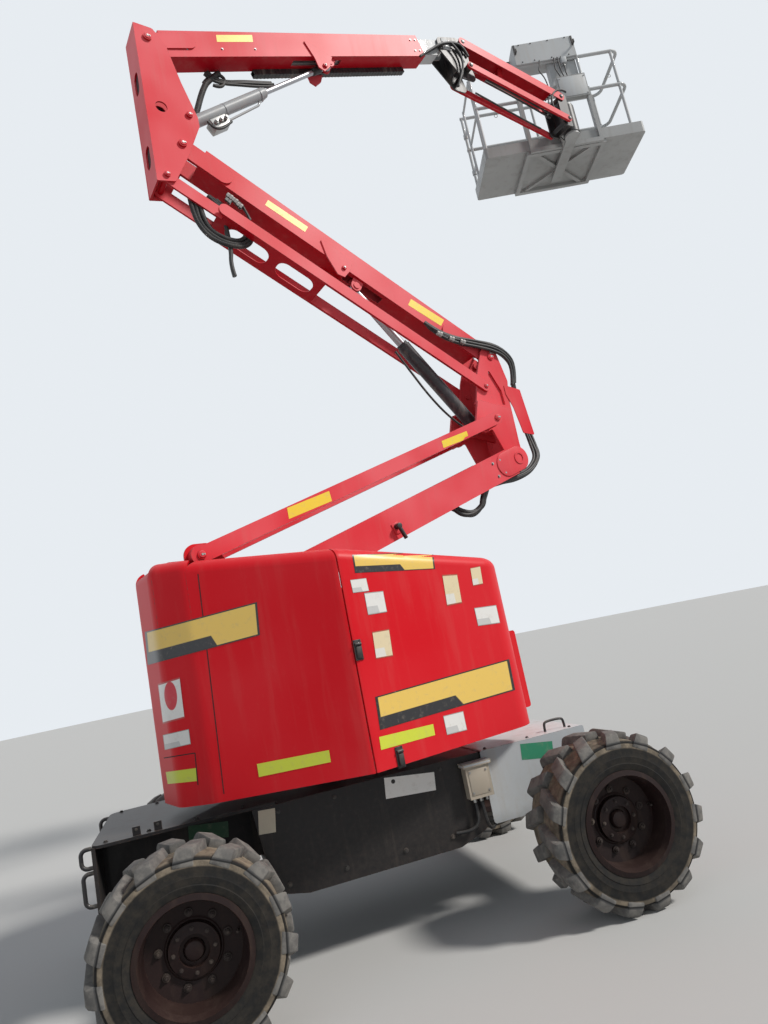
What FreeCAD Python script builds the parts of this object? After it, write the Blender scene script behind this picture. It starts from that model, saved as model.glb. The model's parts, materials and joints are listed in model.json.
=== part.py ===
import FreeCAD, Part
import math
import os
from FreeCAD import Vector

os.makedirs("parts", exist_ok=True)

# Articulating boom lift, millimetres, +Z up, wheels on z = 0.
# Chassis frame: X along the chassis, Y away from the near side, slew axis at x = y = 0 while modelling,
# wheel centres at axle_height, so that the ground is at axle_height - tyre_radius.
# Turret frame: the chassis frame turned by slew_rest about Z, x towards the platform end of the turret.
# The finished set is shifted so that the origin is the bottom centre of its bounding box.

# Wheels and chassis
tyre_radius = 460.0
tyre_width = 355.0
lug_height = 40.0
lug_count = 15
rim_radius = 254.0
wheelbase = 2260.0
overall_width = 2340.0
kingpin_y = 806.0
axle_height = 427.0
chassis_half_width = 540.0
chassis_top = 860.0
chassis_bottom = 370.0
plate = 20.0
tie_arm = 160.0
hub_face = (overall_width - tyre_width) / 2 + 7.7

# Turret
slew_rest = 16.3
ring_radius = 340.0
seat_gap = 0.3
table_bottom = 966.0
table_top = 1006.0
slot_half = 366.0
hood_side = 895.0
hood_wall = 14.0
hood_front = 790.0
hood_bottom = 960.0
hood_split = -396.0
tail_rear = -1222.0

# Pin places in the turret frame, x and z
pin_link_low = (-950.0, 2293.0)
link_rise = 18.5
link_length = 2632.0
arm_from_link = (200.0, -313.0)
pin_upper_arm = (1835.0, 3754.0)
upper_rise = 148.1
upper_length = 2826.0
link_from_upper = (-146.0, -275.0)
boom_from_upper = (-133.0, 832.0)
luff_foot_from_upper = (85.0, 251.0)
boom_rise = 18.0
base_length = 2760.0
fly_pin_reach = 3080.0
luff_eye_reach = 1620.0
luff_eye_drop = 150.0
jib_pin_from_fly = (229.0, 70.0)
jib_spacing = 292.0
jib_length = 1300.0
jib_drop = 11.3
tower_foot = (1610.0, 3160.0)
tower_eye_reach = 1280.0
tower_eye_drop = 124.0
jib_foot_from_pin = (-20.0, -120.0)
jib_eye_reach = 540.0
jib_eye_drop = 55.0

# Widths across the boom, half values
upper_half = 83.0
upper_over = 106.0
upper_under = 70.0
lower_in = 190.0
lower_out = 258.0
lower_height = 220.0
knuckle_half = 186.0
knuckle_sheet = 22.0
head_in = 106.0
head_out = 122.0
upright_half = 115.0
boom_half = 78.0
boom_height = 214.0
boom_sag = 16.0
luff_lug_in = 30.0
fly_half = 60.0
fly_height = 160.0
rail_in = 128.0
rail_out = 150.0
rail_narrow = 95.0
rail_height = 90.0
link_in = 282.0
link_out = 340.0
link_height = 96.0
ear_in = 264.0
ear_out = 278.0
side_gap = 6.0
sheet = 12.0
wall = 8.0

# Platform
swing_rest = 58.7
swing_from_head = 177.0
platform_back = 204.0
platform_depth = 760.0
platform_length = 1830.0
floor_from_head = -298.0
rail_rise = 1100.0
tube = 19.0
toe_board = 130.0
rail_inset = 36.0
rail_bend = 90.0


def cosd(a):
    return math.cos(math.radians(a))


def sind(a):
    return math.sin(math.radians(a))


def along(start, angle, reach, drop=0.0):
    """Point at a distance along a direction, and dropped square to it."""
    return (start[0] + reach * cosd(angle) + drop * sind(angle),
            start[1] + reach * sind(angle) - drop * cosd(angle))


def plus(a, b):
    return (a[0] + b[0], a[1] + b[1])


pin_link_high = along(pin_link_low, link_rise, link_length)
pin_arm_low = plus(pin_link_low, arm_from_link)
pin_arm_high = plus(pin_link_high, arm_from_link)
pin_upper_high = along(pin_upper_arm, upper_rise, upper_length)
pin_rail_low = plus(pin_upper_arm, link_from_upper)
pin_rail_high = plus(pin_upper_high, link_from_upper)
pin_boom = plus(pin_upper_high, boom_from_upper)
pin_luff_foot = plus(pin_upper_high, luff_foot_from_upper)
pin_luff_eye = along(pin_boom, boom_rise, luff_eye_reach, luff_eye_drop)
pin_fly = along(pin_boom, boom_rise, fly_pin_reach)
pin_jib = plus(pin_fly, jib_pin_from_fly)
pin_jib_low = (pin_jib[0], pin_jib[1] - jib_spacing)
pin_head = along(pin_jib, -jib_drop, jib_length)
pin_head_low = (pin_head[0], pin_head[1] - jib_spacing)
pin_tower_eye = along(pin_upper_arm, upper_rise, tower_eye_reach, -tower_eye_drop)
pin_jib_foot = plus(pin_jib, jib_foot_from_pin)
pin_jib_eye = along(pin_jib, -jib_drop, jib_eye_reach, jib_eye_drop)
swing_x = pin_head[0] + swing_from_head
floor_low = pin_head[1] + floor_from_head


def box(x0, x1, y0, y1, z0, z1):
    return Part.makeBox(x1 - x0, y1 - y0, z1 - z0, Vector(x0, y0, z0))


def fuse(shapes):
    first = shapes[0]
    if len(shapes) == 1:
        return first
    return first.multiFuse(shapes[1:]).removeSplitter()


def corner(before, here, after, radius):
    """Start, middle and end of the arc that rounds one corner of an outline."""
    a = Vector(before[0] - here[0], before[1] - here[1], 0)
    b = Vector(after[0] - here[0], after[1] - here[1], 0)
    half = a.getAngle(b) / 2.0
    back = radius / math.tan(half)
    a.normalize()
    b.normalize()
    bisector = a + b
    bisector.normalize()
    centre = bisector * (radius / math.sin(half))
    middle = centre - bisector * radius
    place = Vector(here[0], here[1], 0)
    return place + a * back, place + middle, place + b * back


def outline(points):
    """Closed wire in a flat plane from (u, v, corner radius) rows."""
    edges = []
    last = None
    first = None
    count = len(points)
    for i, (u, v, radius) in enumerate(points):
        if radius > 0:
            start, middle, end = corner(points[i - 1], (u, v), points[(i + 1) % count], radius)
        else:
            start = middle = end = Vector(u, v, 0)
        if last is not None and (start - last).Length > 0.01:
            edges.append(Part.makeLine(last, start))
        if radius > 0:
            edges.append(Part.Arc(start, middle, end).toShape())
        if first is None:
            first = start
        last = end
    if (first - last).Length > 0.01:
        edges.append(Part.makeLine(last, first))
    return Part.Wire(edges)


def side_plate(points, y0, y1):
    """Outline of (x, z, radius) rows, solid from y0 to y1."""
    wire = outline(points)
    wire.rotate(Vector(0, 0, 0), Vector(1, 0, 0), 90)
    wire.translate(Vector(0, y0, 0))
    return Part.Face(wire).extrude(Vector(0, y1 - y0, 0))


def plan_plate(points, z0, z1):
    """Outline of (x, y, radius) rows, solid from z0 to z1."""
    wire = outline(points)
    wire.translate(Vector(0, 0, z0))
    return Part.Face(wire).extrude(Vector(0, 0, z1 - z0))


def pin(centre, radius, y0, y1):
    return Part.makeCylinder(radius, y1 - y0, Vector(centre[0], y0, centre[1]), Vector(0, 1, 0))


def both(y0, y1, make):
    """The same piece on both sides of the boom."""
    return [make(y0, y1), make(-y1, -y0)]


def beam(start, angle, s0, s1, low, high, y0, y1):
    """Straight box along a direction from s0 to s1, low and high square to it."""
    rows = [along(start, angle, s0, low), along(start, angle, s1, low),
            along(start, angle, s1, -high), along(start, angle, s0, -high)]
    return side_plate([(x, z, 0) for x, z in rows], y0, y1)


def tube_beam(start, angle, s0, s1, half_height, half_width, thickness):
    inner = beam(start, angle, s0 - 1, s1 + 1, half_height - thickness, half_height - thickness,
                 -half_width + thickness, half_width - thickness)
    return beam(start, angle, s0, s1, half_height, half_height, -half_width, half_width).cut(inner)


def strap(start, angle, s0, s1, half_height, y0, y1):
    """Flat strap with round ends about the points s0 and s1 of a direction."""
    a = along(start, angle, s0, half_height)
    b = along(start, angle, s1, half_height)
    c = along(start, angle, s1 + half_height)
    d = along(start, angle, s1, -half_height)
    e = along(start, angle, s0, -half_height)
    f = along(start, angle, s0 - half_height)
    a, b, c, d, e, f = [Vector(p[0], y0, p[1]) for p in (a, b, c, d, e, f)]
    wire = Part.Wire([Part.makeLine(a, b), Part.Arc(b, c, d).toShape(), Part.makeLine(d, e),
                      Part.Arc(e, f, a).toShape()])
    return Part.Face(wire).extrude(Vector(0, y1 - y0, 0))


def bent_tube(points, bend, radius):
    """Round tube swept along straight runs that meet in arcs of one bend radius."""
    edges = []
    last = Vector(*points[0])
    for before, here, after in zip(points, points[1:], points[2:]):
        here = Vector(*here)
        a = (Vector(*before) - here).normalize()
        b = (Vector(*after) - here).normalize()
        half = a.getAngle(b) / 2.0
        back = bend / math.tan(half)
        middle = here + (a + b).normalize() * (bend / math.sin(half) - bend)
        edges.append(Part.makeLine(last, here + a * back))
        edges.append(Part.Arc(here + a * back, middle, here + b * back).toShape())
        last = here + b * back
    edges.append(Part.makeLine(last, Vector(*points[-1])))
    start = Vector(*points[0])
    way = Vector(*points[1]) - start
    ring = Part.Wire(Part.makeCircle(radius, start, way))
    return Part.Wire(edges).makePipeShell([ring], True, False)


nodes = {}


def turned(shape, angle=slew_rest, x=0.0, y=0.0):
    shape.rotate(Vector(x, y, 0), Vector(0, 0, 1), angle)
    return shape


def on_chassis(name, shape):
    nodes[name] = shape


def on_turret(name, shape):
    nodes[name] = turned(shape)


def on_platform(name, shape):
    nodes[name] = turned(turned(shape, swing_rest, swing_x, 0.0))


# Wheels

def ring_profile(rows):
    """Solid of revolution about the Y axis from (radius, y) rows."""
    points = [Vector(r, y, 0) for r, y in rows]
    wire = Part.makePolygon(points + points[:1])
    return Part.Face(wire).revolve(Vector(0, 0, 0), Vector(0, 1, 0), 360)


def lug_ring(y0, y1, turn):
    """One side's row of tread lugs as a toothed ring about the Y axis."""
    root = tyre_radius - lug_height + 4
    step = 360.0 / lug_count
    points = []
    for i in range(lug_count):
        for radius, share in ((root, -0.33), (tyre_radius, -0.24), (tyre_radius, 0.24), (root, 0.33)):
            angle = turn + step * (i + share)
            points.append(Vector(radius * cosd(angle), y0, radius * sind(angle)))
    wire = Part.makePolygon(points + points[:1])
    return Part.Face(wire).extrude(Vector(0, y1 - y0, 0))


def tyre():
    half = tyre_width / 2
    base = tyre_radius - lug_height
    rows = [(rim_radius, -half + 22), (rim_radius + 60, -half), (base - 10, -half + 12), (base, -half + 40),
            (base, half - 40), (base - 10, half - 12), (rim_radius + 60, half), (rim_radius, half - 22)]
    rings = [lug_ring(-half + 10, -8, 0), lug_ring(8, half - 10, 180.0 / lug_count)]
    hole = Part.makeCylinder(base - 30, tyre_width, Vector(0, -half, 0), Vector(0, 1, 0))
    return fuse([ring_profile(rows)] + [ring.cut(hole) for ring in rings])


def rim(outward):
    """Deep dished disc wheel; outward is -1 on the near side and 1 on the far side."""
    r = rim_radius - 0.3
    edge = tyre_width / 2
    rows = [(r + 12, edge - 7.5), (r - 14, edge - 1.5), (r - 26, edge - 38), (r - 34, 40), (115, 22), (115, 52),
            (70, 62), (70, 40), (50, 40), (50, 8), (115, 8), (r - 44, 26), (r - 44, 38 - edge),
            (r - 26, 7.5 - edge), (r + 12, 7.5 - edge), (r + 12, 15.5 - edge), (r, 21.3 - edge), (r, edge - 21.3),
            (r + 12, edge - 15.5)]
    return ring_profile([(a, b * outward) for a, b in rows])


def wheel_set():
    wheels = [("steer_near", -1, -1), ("steer_far", -1, 1), ("drive_near", 1, -1), ("drive_far", 1, 1)]
    rubber = tyre()
    for name, end, side in wheels:
        place = Vector(end * wheelbase / 2, side * (overall_width - tyre_width) / 2, axle_height)
        tyre_shape = rubber.copy()
        tyre_shape.translate(place)
        rim_shape = rim(side)
        rim_shape.translate(place)
        on_chassis("tyre_" + name, tyre_shape)
        on_chassis("rim_" + name, rim_shape)


# Chassis

def chassis_frame():
    """Closed centre box with a hollow rail to each end."""
    w = chassis_half_width
    top = chassis_top
    side = [(-700, chassis_bottom + 40, 30), (-520, chassis_bottom, 30), (380, chassis_bottom, 30),
            (560, chassis_bottom + 60, 30), (600, top, 0), (-760, top, 0)]
    shell = side_plate(side, -w, w)
    inner = side_plate([(-660, chassis_bottom + 60, 0), (-510, chassis_bottom + plate, 0),
                        (372, chassis_bottom + plate, 0), (542, chassis_bottom + 74, 0),
                        (578, top - plate, 0), (-720, top - plate, 0)], -w + plate, w - plate)
    parts = [shell.cut(inner)]
    for x0, x1, level in ((-1570, -700, top), (580, 1300, top - 4 - seat_gap)):
        rail = box(x0, x1, -260, 260, 560, level)
        parts.append(rail.cut(box(x0 + plate, x1 - plate, -240, 240, 560 + plate, level - plate)))
    for x in (-wheelbase / 2, wheelbase / 2):
        parts.append(box(x - 110, x + 110, -280, 280, axle_height + 88 + seat_gap, 600))
    return fuse(parts)


def covers():
    """Flat deck over the steered end and the box-shaped cover of the driven end."""
    w = chassis_half_width
    z = chassis_top + seat_gap
    deck = plan_plate([(-1590, -w + 40, 60), (-620, -w, 20), (-620, w, 20), (-1590, w - 40, 60)], z, z + 16)
    parts = [deck]
    for x in (-1360, -1250):
        parts.append(box(x - 20, x + 20, -w + 50, -w + 66, z + 10, z + 60))
    parts.append(box(-1590, -1570 - seat_gap, -490, 490, 520, z + 8))
    on_chassis("steer_end_cover", fuse(parts))
    rows = [(610, 440, 20), (610, 862, 14), (1325, 862, 14), (1325, 640, 40), (1225, 560, 40), (940, 560, 60),
            (860, 440, 40)]
    inner = [(600, 400, 0), (600, 856, 0), (1319, 856, 0), (1319, 500, 0)]
    shell = side_plate(rows, -w, w).cut(side_plate(inner, -w + 6, w - 6))
    on_chassis("drive_end_cover", shell)


def tie_loops():
    loops = []
    for y in (-470, 400):
        for low, high in ((585, 745), (770, 865)):
            rows = [(-1590.3, y, low), (-1645, y, low), (-1645, y, high), (-1590.3, y, high)]
            loops.append(bent_tube(rows, 30, 11))
    return Part.makeCompound(loops)


def drive_axle():
    x = wheelbase / 2
    inner = hub_face
    beam_box = box(x - 70, x + 70, -760, 760, axle_height - 70, axle_height + 88)
    hubs = [pin((x, axle_height), 104, 740, inner), pin((x, axle_height), 104, -inner, -740)]
    return fuse([beam_box] + hubs)


def steer_axle():
    x = -wheelbase / 2
    parts = [box(x - 70, x + 70, -720, 720, axle_height - 60, axle_height + 88)]
    for side in (-1, 1):
        y0, y1 = sorted((side * 700, side * (kingpin_y + 36)))
        fork = box(x - 55, x + 55, y0, y1, axle_height - 150, axle_height + 150)
        fy0, fy1 = sorted((side * 738, side * (kingpin_y + 60)))
        fork = fork.cut(box(x - 60, x + 60, fy0, fy1, axle_height - 116, axle_height + 116))
        fork = fork.cut(Part.makeCylinder(26.3, 400, Vector(x, side * kingpin_y, axle_height - 200)))
        parts.append(fork)
    return fuse(parts)


def steer_knuckle(side):
    x = -wheelbase / 2
    y0, y1 = sorted((side * (kingpin_y - 44), side * (kingpin_y + 44)))
    body = box(x - 40, x + 40, y0, y1, axle_height - 110, axle_height + 110)
    king = Part.makeCylinder(26, 316, Vector(x, side * kingpin_y, axle_height - 158))
    h0, h1 = sorted((side * (kingpin_y + 30), side * hub_face))
    hub = pin((x, axle_height), 104, h0, h1)
    a0, a1 = sorted((side * (kingpin_y - 16), side * (kingpin_y + 34)))
    arm = box(x + 30, x + tie_arm + 30, a0, a1, axle_height - 100, axle_height - 70)
    eye = Part.makeCylinder(16, 60, Vector(x + tie_arm, side * kingpin_y, axle_height - 130))
    return fuse([body, king, hub, arm, eye])


def tie_rod():
    x = -wheelbase / 2 + tie_arm
    z = axle_height - 118
    rod = pin((x, z), 14, -kingpin_y + 24, kingpin_y - 24)
    parts = [rod]
    for side in (-1, 1):
        ring = Part.makeCylinder(30, 24, Vector(x, side * kingpin_y, z - 12))
        parts.append(ring.cut(Part.makeCylinder(16.3, 40, Vector(x, side * kingpin_y, z - 20))))
    return fuse(parts)


def junction_box():
    y = -chassis_half_width
    body = box(470, 620, y - 70, y, 620, 800)
    lid = box(456, 634, y - 84, y, 800, 822)
    return fuse([body, lid])


# Turret

def turntable():
    """Table plate with the two ear plates that carry the lower arm and links."""
    table = plan_plate([(-980, -300, 60), (-700, -560, 60), (560, -560, 60), (640, -300, 60),
                        (640, 300, 60), (560, 560, 60), (-700, 560, 60), (-980, 300, 60)], table_bottom, table_top)
    table = table.cut(Part.makeCylinder(210, 200, Vector(0, 0, table_bottom - 50)))
    top = pin_link_low
    low = pin_arm_low
    ear = [(-970, table_top - 1, 0), (-520, table_top - 1, 0), (-640, low[1] - 60, 60), (-640, low[1] + 60, 60),
           (top[0] + 84, top[1] + 78, 70), (top[0] - 84, top[1] + 78, 70), (top[0] - 84, top[1] - 200, 60)]
    parts = [table] + both(ear_in, ear_out, lambda y0, y1: side_plate(ear, y0, y1))
    parts += both(lower_in + 12, ear_out + 6, lambda y0, y1: pin(low, 36, y0, y1))
    parts += both(ear_in - 10, link_out + 12, lambda y0, y1: pin(top, 26, y0, y1))
    return fuse(parts)


def hood_hinge(side):
    """Place of a hood's upright hinge line: x, y, z."""
    return hood_front + 12, side * (slot_half + 16), 1400.0


def turret_front():
    """Hinge posts with the side plates that reach past the hoods, beside the arm slot."""
    walls = []
    rows = [(560, table_top, 0), (655, table_top, 0), (655, table_bottom + 8, 0), (1205, table_bottom + 8, 20),
            (1205, 1510, 20), (1120, 1510, 40), (1000, 1330, 60), (730, 1330, 60), (640, 1760, 20), (560, 1760, 0)]
    for side in (-1, 1):
        y0, y1 = sorted((side * (link_out + 6), side * (slot_half - 10)))
        post = box(560, 632, y0, y1, table_top, 1740)
        y0, y1 = sorted((side * (slot_half - 11), side * (slot_half - 3)))
        side_wall = side_plate(rows, y0, y1)
        x, y, z = hood_hinge(side)
        y0, y1 = sorted((side * (slot_half - 4), y + side * 6))
        arms = [box(hood_front + 2, x + 6, y0, y1, level, level + 20) for level in (1080, 1280)]
        walls.append(fuse([post, side_wall, Part.makeCylinder(6, 220, Vector(x, y, 1080))] + arms))
    return Part.makeCompound(walls)


def hood_body(inset):
    """Whole body of the turret cover, its walls and inclined top moved inwards by inset."""
    rows = [(hood_front, -hood_side, 180), (hood_front, hood_side, 180), (-400, hood_side, 80),
            (-1088, 352, 200), (tail_rear, 180, 150), (tail_rear, -180, 150), (-1088, -352, 200),
            (-400, -hood_side, 80)]
    wire = outline(rows)
    if inset > 0:
        wire = wire.makeOffset2D(-inset)
    wire.translate(Vector(0, 0, hood_bottom))
    body = Part.Face(wire).extrude(Vector(0, 0, 1500))
    body = body.common(side_plate([(-1400, hood_bottom, 0), (1000, hood_bottom, 0),
                                   (1000, hood_top(1000) - inset, 0), (-1400, hood_top(-1400) - inset, 0)],
                                  -1000, 1000))
    edges = [e for e in body.Edges if on_hood_top(e, inset)]
    return body.makeFillet(72 - inset, edges)


def hood_top(x):
    return 2105.0 - 0.158 * x


def on_hood_top(edge, inset):
    return all(abs(v.Z - hood_top(v.X) + inset) < 0.5 for v in edge.Vertexes)


def hood_skin():
    """Shell of the turret cover, open below."""
    inner = hood_body(hood_wall)
    return hood_body(0).cut(inner)


def hood_near(skin):
    """Near door of the cover with its hinge tube."""
    door = skin.common(box(hood_split + 4, 900, -1000, -slot_half - 6, 900, 2500))
    x, y, z = hood_hinge(-1)
    tube_z = 1101
    leaf = box(hood_front - 8, x, y - 8, y + 4, tube_z, 1279)
    door = door.fuse([leaf, Part.makeCylinder(12, 1279 - tube_z, Vector(x, y, tube_z))])
    return door.cut(Part.makeCylinder(6.3, 640, Vector(x, y, 1000)))


def mirror_y(shape):
    return shape.mirror(Vector(0, 0, 0), Vector(0, 1, 0))


def tail_hood(skin):
    """Tail of the cover, open above between the sides of the boom slot."""
    tail = skin.common(box(-1400, hood_split - 4, -1000, 1000, 900, 2500))
    return tail.cut(box(tail_rear + hood_wall - 1, 0, -slot_half, slot_half, 1900, 2500))


def counterweight():
    """Cast block inside the tail, slotted for the ears and for the folded booms."""
    block = hood_body(hood_wall + seat_gap).common(box(-1300, -430, -900, 900, table_top + seat_gap, 1640))
    block = block.cut(box(-1300, -400, -ear_in + 2, ear_in - 2, table_top + 120, 1800))
    for cut in both(ear_in - 3, ear_out + 7, lambda y0, y1: box(-1060, -400, y0, y1, 900, 1800)):
        block = block.cut(cut)
    return block


def engine():
    return box(-330, 520, slot_half + 40, hood_side - 90, table_top, 1640)


def tanks():
    oil = box(-330, 120, -hood_side + 80, -slot_half - 40, table_top, 1700)
    valves = box(190, 420, -hood_side + 120, -slot_half - 40, table_top, 1380)
    return Part.makeCompound([oil, valves])


# Tower

def lower_arm():
    """Twin beams, open between them, joined by two cross tubes near the knuckle."""
    reach = link_length
    half = lower_height / 2
    parts = []
    for y0, y1 in ((lower_in, lower_out), (-lower_out, -lower_in)):
        skin = beam(pin_arm_low, link_rise, 0, reach - 60, half, half, y0, y1)
        parts.append(skin.cut(beam(pin_arm_low, link_rise, 110, reach - 200, half - wall, half - wall,
                                   y0 + wall, y1 - wall)))
        parts.append(strap(pin_arm_low, link_rise, 0, 300, 96, y0, y1))
        parts.append(strap(pin_arm_low, link_rise, reach - 300, reach, 88, y0, y1))
    for s in (reach - 880, reach - 400):
        parts.append(pin(along(pin_arm_low, link_rise, s), 76, -lower_in - 10, lower_in + 10))
    parts += both(knuckle_half - knuckle_sheet - 14, lower_in + 10, lambda y0, y1: pin(pin_arm_high, 36, y0, y1))
    solid = fuse(parts)
    return solid.cut(pin(pin_arm_low, 36.3, -400, 400))


def lower_links():
    links = []
    for y0, y1 in ((link_in, link_out), (-link_out, -link_in)):
        bar = strap(pin_link_low, link_rise, 0, link_length, link_height / 2, y0, y1)
        bar = bar.fuse(pin(pin_link_low, 62, y0 - 2, y1 + 2)).cut(pin(pin_link_low, 26.3, -400, 400))
        top_y = sorted((math.copysign(knuckle_half + 6, y0), math.copysign(link_out + 12, y0)))
        links.append(fuse([bar, pin(pin_link_high, 26, top_y[0], top_y[1])]))
    return Part.makeCompound(links)


def tower_knuckle():
    """Low plates at the lower arm, narrower head plates at the upper arm, webs between them."""
    a, b, c, d = pin_arm_high, pin_link_high, pin_rail_low, pin_upper_arm
    outer = knuckle_half
    inner = outer - knuckle_sheet
    low_rows = [(a[0] - 60, a[1] - 90, 50), (a[0] + 100, a[1] - 90, 60), (a[0] + 126, a[1] + 65, 30),
                (a[0] + 111, a[1] + 450, 10), (b[0] - 16, b[1] + 212, 20), (b[0] - 86, b[1] + 20, 50),
                (b[0] - 30, b[1] - 86, 50), (b[0] + 66, b[1] - 36, 20), (a[0] - 58, a[1] + 90, 20),
                (a[0] - 92, a[1] - 10, 40)]
    head_rows = [(d[0] - 78, d[1] + 78, 60), (d[0] + 65, d[1] + 78, 60), (d[0] + 132, d[1] - 214, 40),
                 (a[0] + 190, a[1] + 585, 20), (a[0] + 186, a[1] + 45, 20), (a[0] + 94, a[1] + 45, 10),
                 (a[0] + 94, a[1] + 375, 20), (c[0] - 99, c[1] - 289, 20), (c[0] - 117, c[1] - 134, 20),
                 (c[0] - 39, c[1] + 121, 60)]
    window = [(c[0] + 86, c[1] + 171, 12), (c[0] + 183, c[1] - 29, 12), (c[0] + 191, c[1] - 159, 12),
              (c[0] + 56, c[1] - 134, 12), (c[0] + 63, c[1] + 21, 12)]
    shelf = [(b[0] - 1, b[1] + 194, 0), (a[0] + 108, a[1] + 435, 0), (a[0] + 108, a[1] + 449, 0),
             (b[0] - 1, b[1] + 208, 0)]
    parts = both(inner, outer, lambda y0, y1: side_plate(low_rows, y0, y1))
    parts += both(head_in, head_out, lambda y0, y1: side_plate(head_rows, y0, y1).cut(
        side_plate(window, y0 - 1, y1 + 1)))
    parts += both(head_out - 1, inner + 1, lambda y0, y1: side_plate(shelf, y0, y1))
    front = a[0] + 170
    parts.append(box(front, front + 14, -head_out + 1, head_out - 1, a[1] + 55, a[1] + 600))
    parts.append(box(a[0] + 96, a[0] + 110, -outer + 1, outer - 1, a[1] + 65, a[1] + 446))
    parts += both(outer - 2, link_in - 2, lambda y0, y1: pin(b, 54, y0, y1))
    foot = tower_foot
    lug_rows = [(foot[0] - 50, foot[1] - 50, 46), (foot[0] + 40, foot[1] - 60, 0), (front + 4, foot[1] - 130, 0),
                (front + 4, foot[1] + 170, 0), (foot[0] - 50, foot[1] + 50, 46)]
    parts += both(57, 73, lambda y0, y1: side_plate(lug_rows, y0, y1))
    solid = fuse(parts + [pin(foot, 24, -79, 79)])
    for place, radius in ((a, 36.3), (b, 26.3), (c, 22.3), (d, 30.3)):
        solid = solid.cut(both_cut(place, radius))
    return solid


def hose_guard():
    """Plate that stands out past the knuckle's near head plate and keeps the hoses off it."""
    a, c = pin_arm_high, pin_rail_low
    rows = [(c[0] + 219, c[1] + 21, 8), (c[0] + 389, c[1] - 17, 10), (c[0] + 435, c[1] - 424, 10),
            (c[0] + 314, c[1] - 405, 10), (c[0] + 269, c[1] - 179, 40), (c[0] + 219, c[1] - 59, 10)]
    return side_plate(rows, -head_out - seat_gap - 6, -head_out - seat_gap)


def both_cut(place, radius):
    return pin(place, radius, -420, 420)


def upper_arm():
    reach = upper_length
    outer = upper_half
    tubes = beam(pin_upper_arm, upper_rise, 130, reach - 150, upper_over, upper_under, -outer, outer)
    tubes = tubes.cut(beam(pin_upper_arm, upper_rise, 129, reach - 149, upper_over - wall, upper_under - wall,
                           -outer + wall, outer - wall))
    cheeks = both(outer, outer + 14, lambda y0, y1: strap(pin_upper_arm, upper_rise, 0, 420, 68, y0, y1))
    heads = both(outer - 10, upright_half - sheet - side_gap, lambda y0, y1: pin(pin_upper_high, 68, y0, y1))
    straps = both(outer - wall, outer + 14,
                  lambda y0, y1: strap(pin_upper_arm, upper_rise, reach - 330, reach, 68, y0, y1))
    eye = both(42, 58, lambda y0, y1: strap(pin_tower_eye, upper_rise - 90, 0, tower_eye_drop - 40, 44, y0, y1))
    eye += both(57, 66, lambda y0, y1: pin(pin_tower_eye, 26, y0, y1))
    pins = both(outer - 20, head_out + 10, lambda y0, y1: pin(pin_upper_arm, 30, y0, y1))
    reach = tower_eye_reach
    mouth = beam(pin_upper_arm, upper_rise, reach - 240, reach + 110, wall + 1 - upper_under, upper_under + 1, -41, 41)
    solid = fuse([tubes.cut(mouth)] + cheeks + heads + straps + eye + pins)
    return solid.cut(both_cut(pin_upper_high, 30.3))


def link_slot(s0, s1):
    """Long slot with round ends through the underside plate of the upper link."""
    rows = [(s0, -84, 70), (s1, -84, 70), (s1, 84, 70), (s0, 84, 70)]
    slot = plan_plate(rows, 30, 60)
    slot.rotate(Vector(0, 0, 0), Vector(0, 1, 0), -upper_rise)
    slot.translate(Vector(pin_rail_low[0], 0, pin_rail_low[1]))
    return slot


def upper_link():
    """Two side rails, set inwards at the upright, with a slotted plate under their upper half."""
    half = rail_height / 2
    low, rise = pin_rail_low, upper_rise
    jog = upper_length - 430
    parts = both(rail_in, rail_out, lambda y0, y1: strap(low, rise, 0, jog, half, y0, y1))
    parts += both(rail_narrow - 16, rail_narrow, lambda y0, y1: strap(low, rise, jog - 20, upper_length, half, y0, y1))
    parts += both(rail_narrow - 2, rail_in + 2, lambda y0, y1: beam(low, rise, jog - 24, jog - 8, 40, 40, y0, y1))
    under = beam(low, rise, 1540, jog + 30, 6 - half, half, -rail_narrow + 1, rail_narrow - 1)
    under = under.fuse(beam(low, rise, 1540, jog - 10, 6 - half, half, -rail_in - 1, rail_in + 1))
    under = under.cut(link_slot(1600, 1900)).cut(link_slot(1980, jog - 80))
    parts += [under, beam(low, rise, 1540, 1552, half - 10, half, -rail_in - 1, rail_in + 1)]
    parts += both(head_in - 10, rail_out + 6, lambda y0, y1: pin(low, 22, y0, y1))
    return fuse(parts).cut(both_cut(pin_rail_high, 22.3))


def upright():
    u = pin_upper_high
    # Side plate rows: offset x, offset z from the upper arm pin, corner radius
    offsets = [(-222, -333, 8), (-90, -316, 20), (38, -78, 40), (150, 176, 60), (147, 249, 60), (66, 512, 0),
               (-3, 801, 40), (-85, 923, 30), (-212, 932, 8)]
    rows = [(u[0] + x, u[1] + z, r) for x, z, r in offsets]
    outer = upright_half
    back = box(u[0] - 220, u[0] - 220 + sheet, -outer, outer, u[1] - 332, u[1] + 931)
    for z in (-80, 515):
        hole = box(u[0] - 240, u[0] - 190, -45, 45, u[1] + z - 40, u[1] + z + 40)
        for end in (-40, 40):
            hole = hole.fuse(Part.makeCylinder(45, 50, Vector(u[0] - 240, 0, u[1] + z + end), Vector(1, 0, 0)))
        back = back.cut(hole)
    solid = fuse(both(outer - sheet, outer, lambda y0, y1: side_plate(rows, y0, y1)) + [back])
    solid = solid.cut(pin((u[0] - 110, u[1] + 270), 42, -400, 400))
    pins = [pin(pin_upper_high, 30, -outer - 16, outer + 16), pin(pin_rail_high, 22, -outer - 16, outer + 16),
            pin(pin_boom, 30, -outer - 16, outer + 16), pin(pin_luff_foot, 24, -outer - 16, outer + 16)]
    return fuse([solid] + pins)


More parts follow.
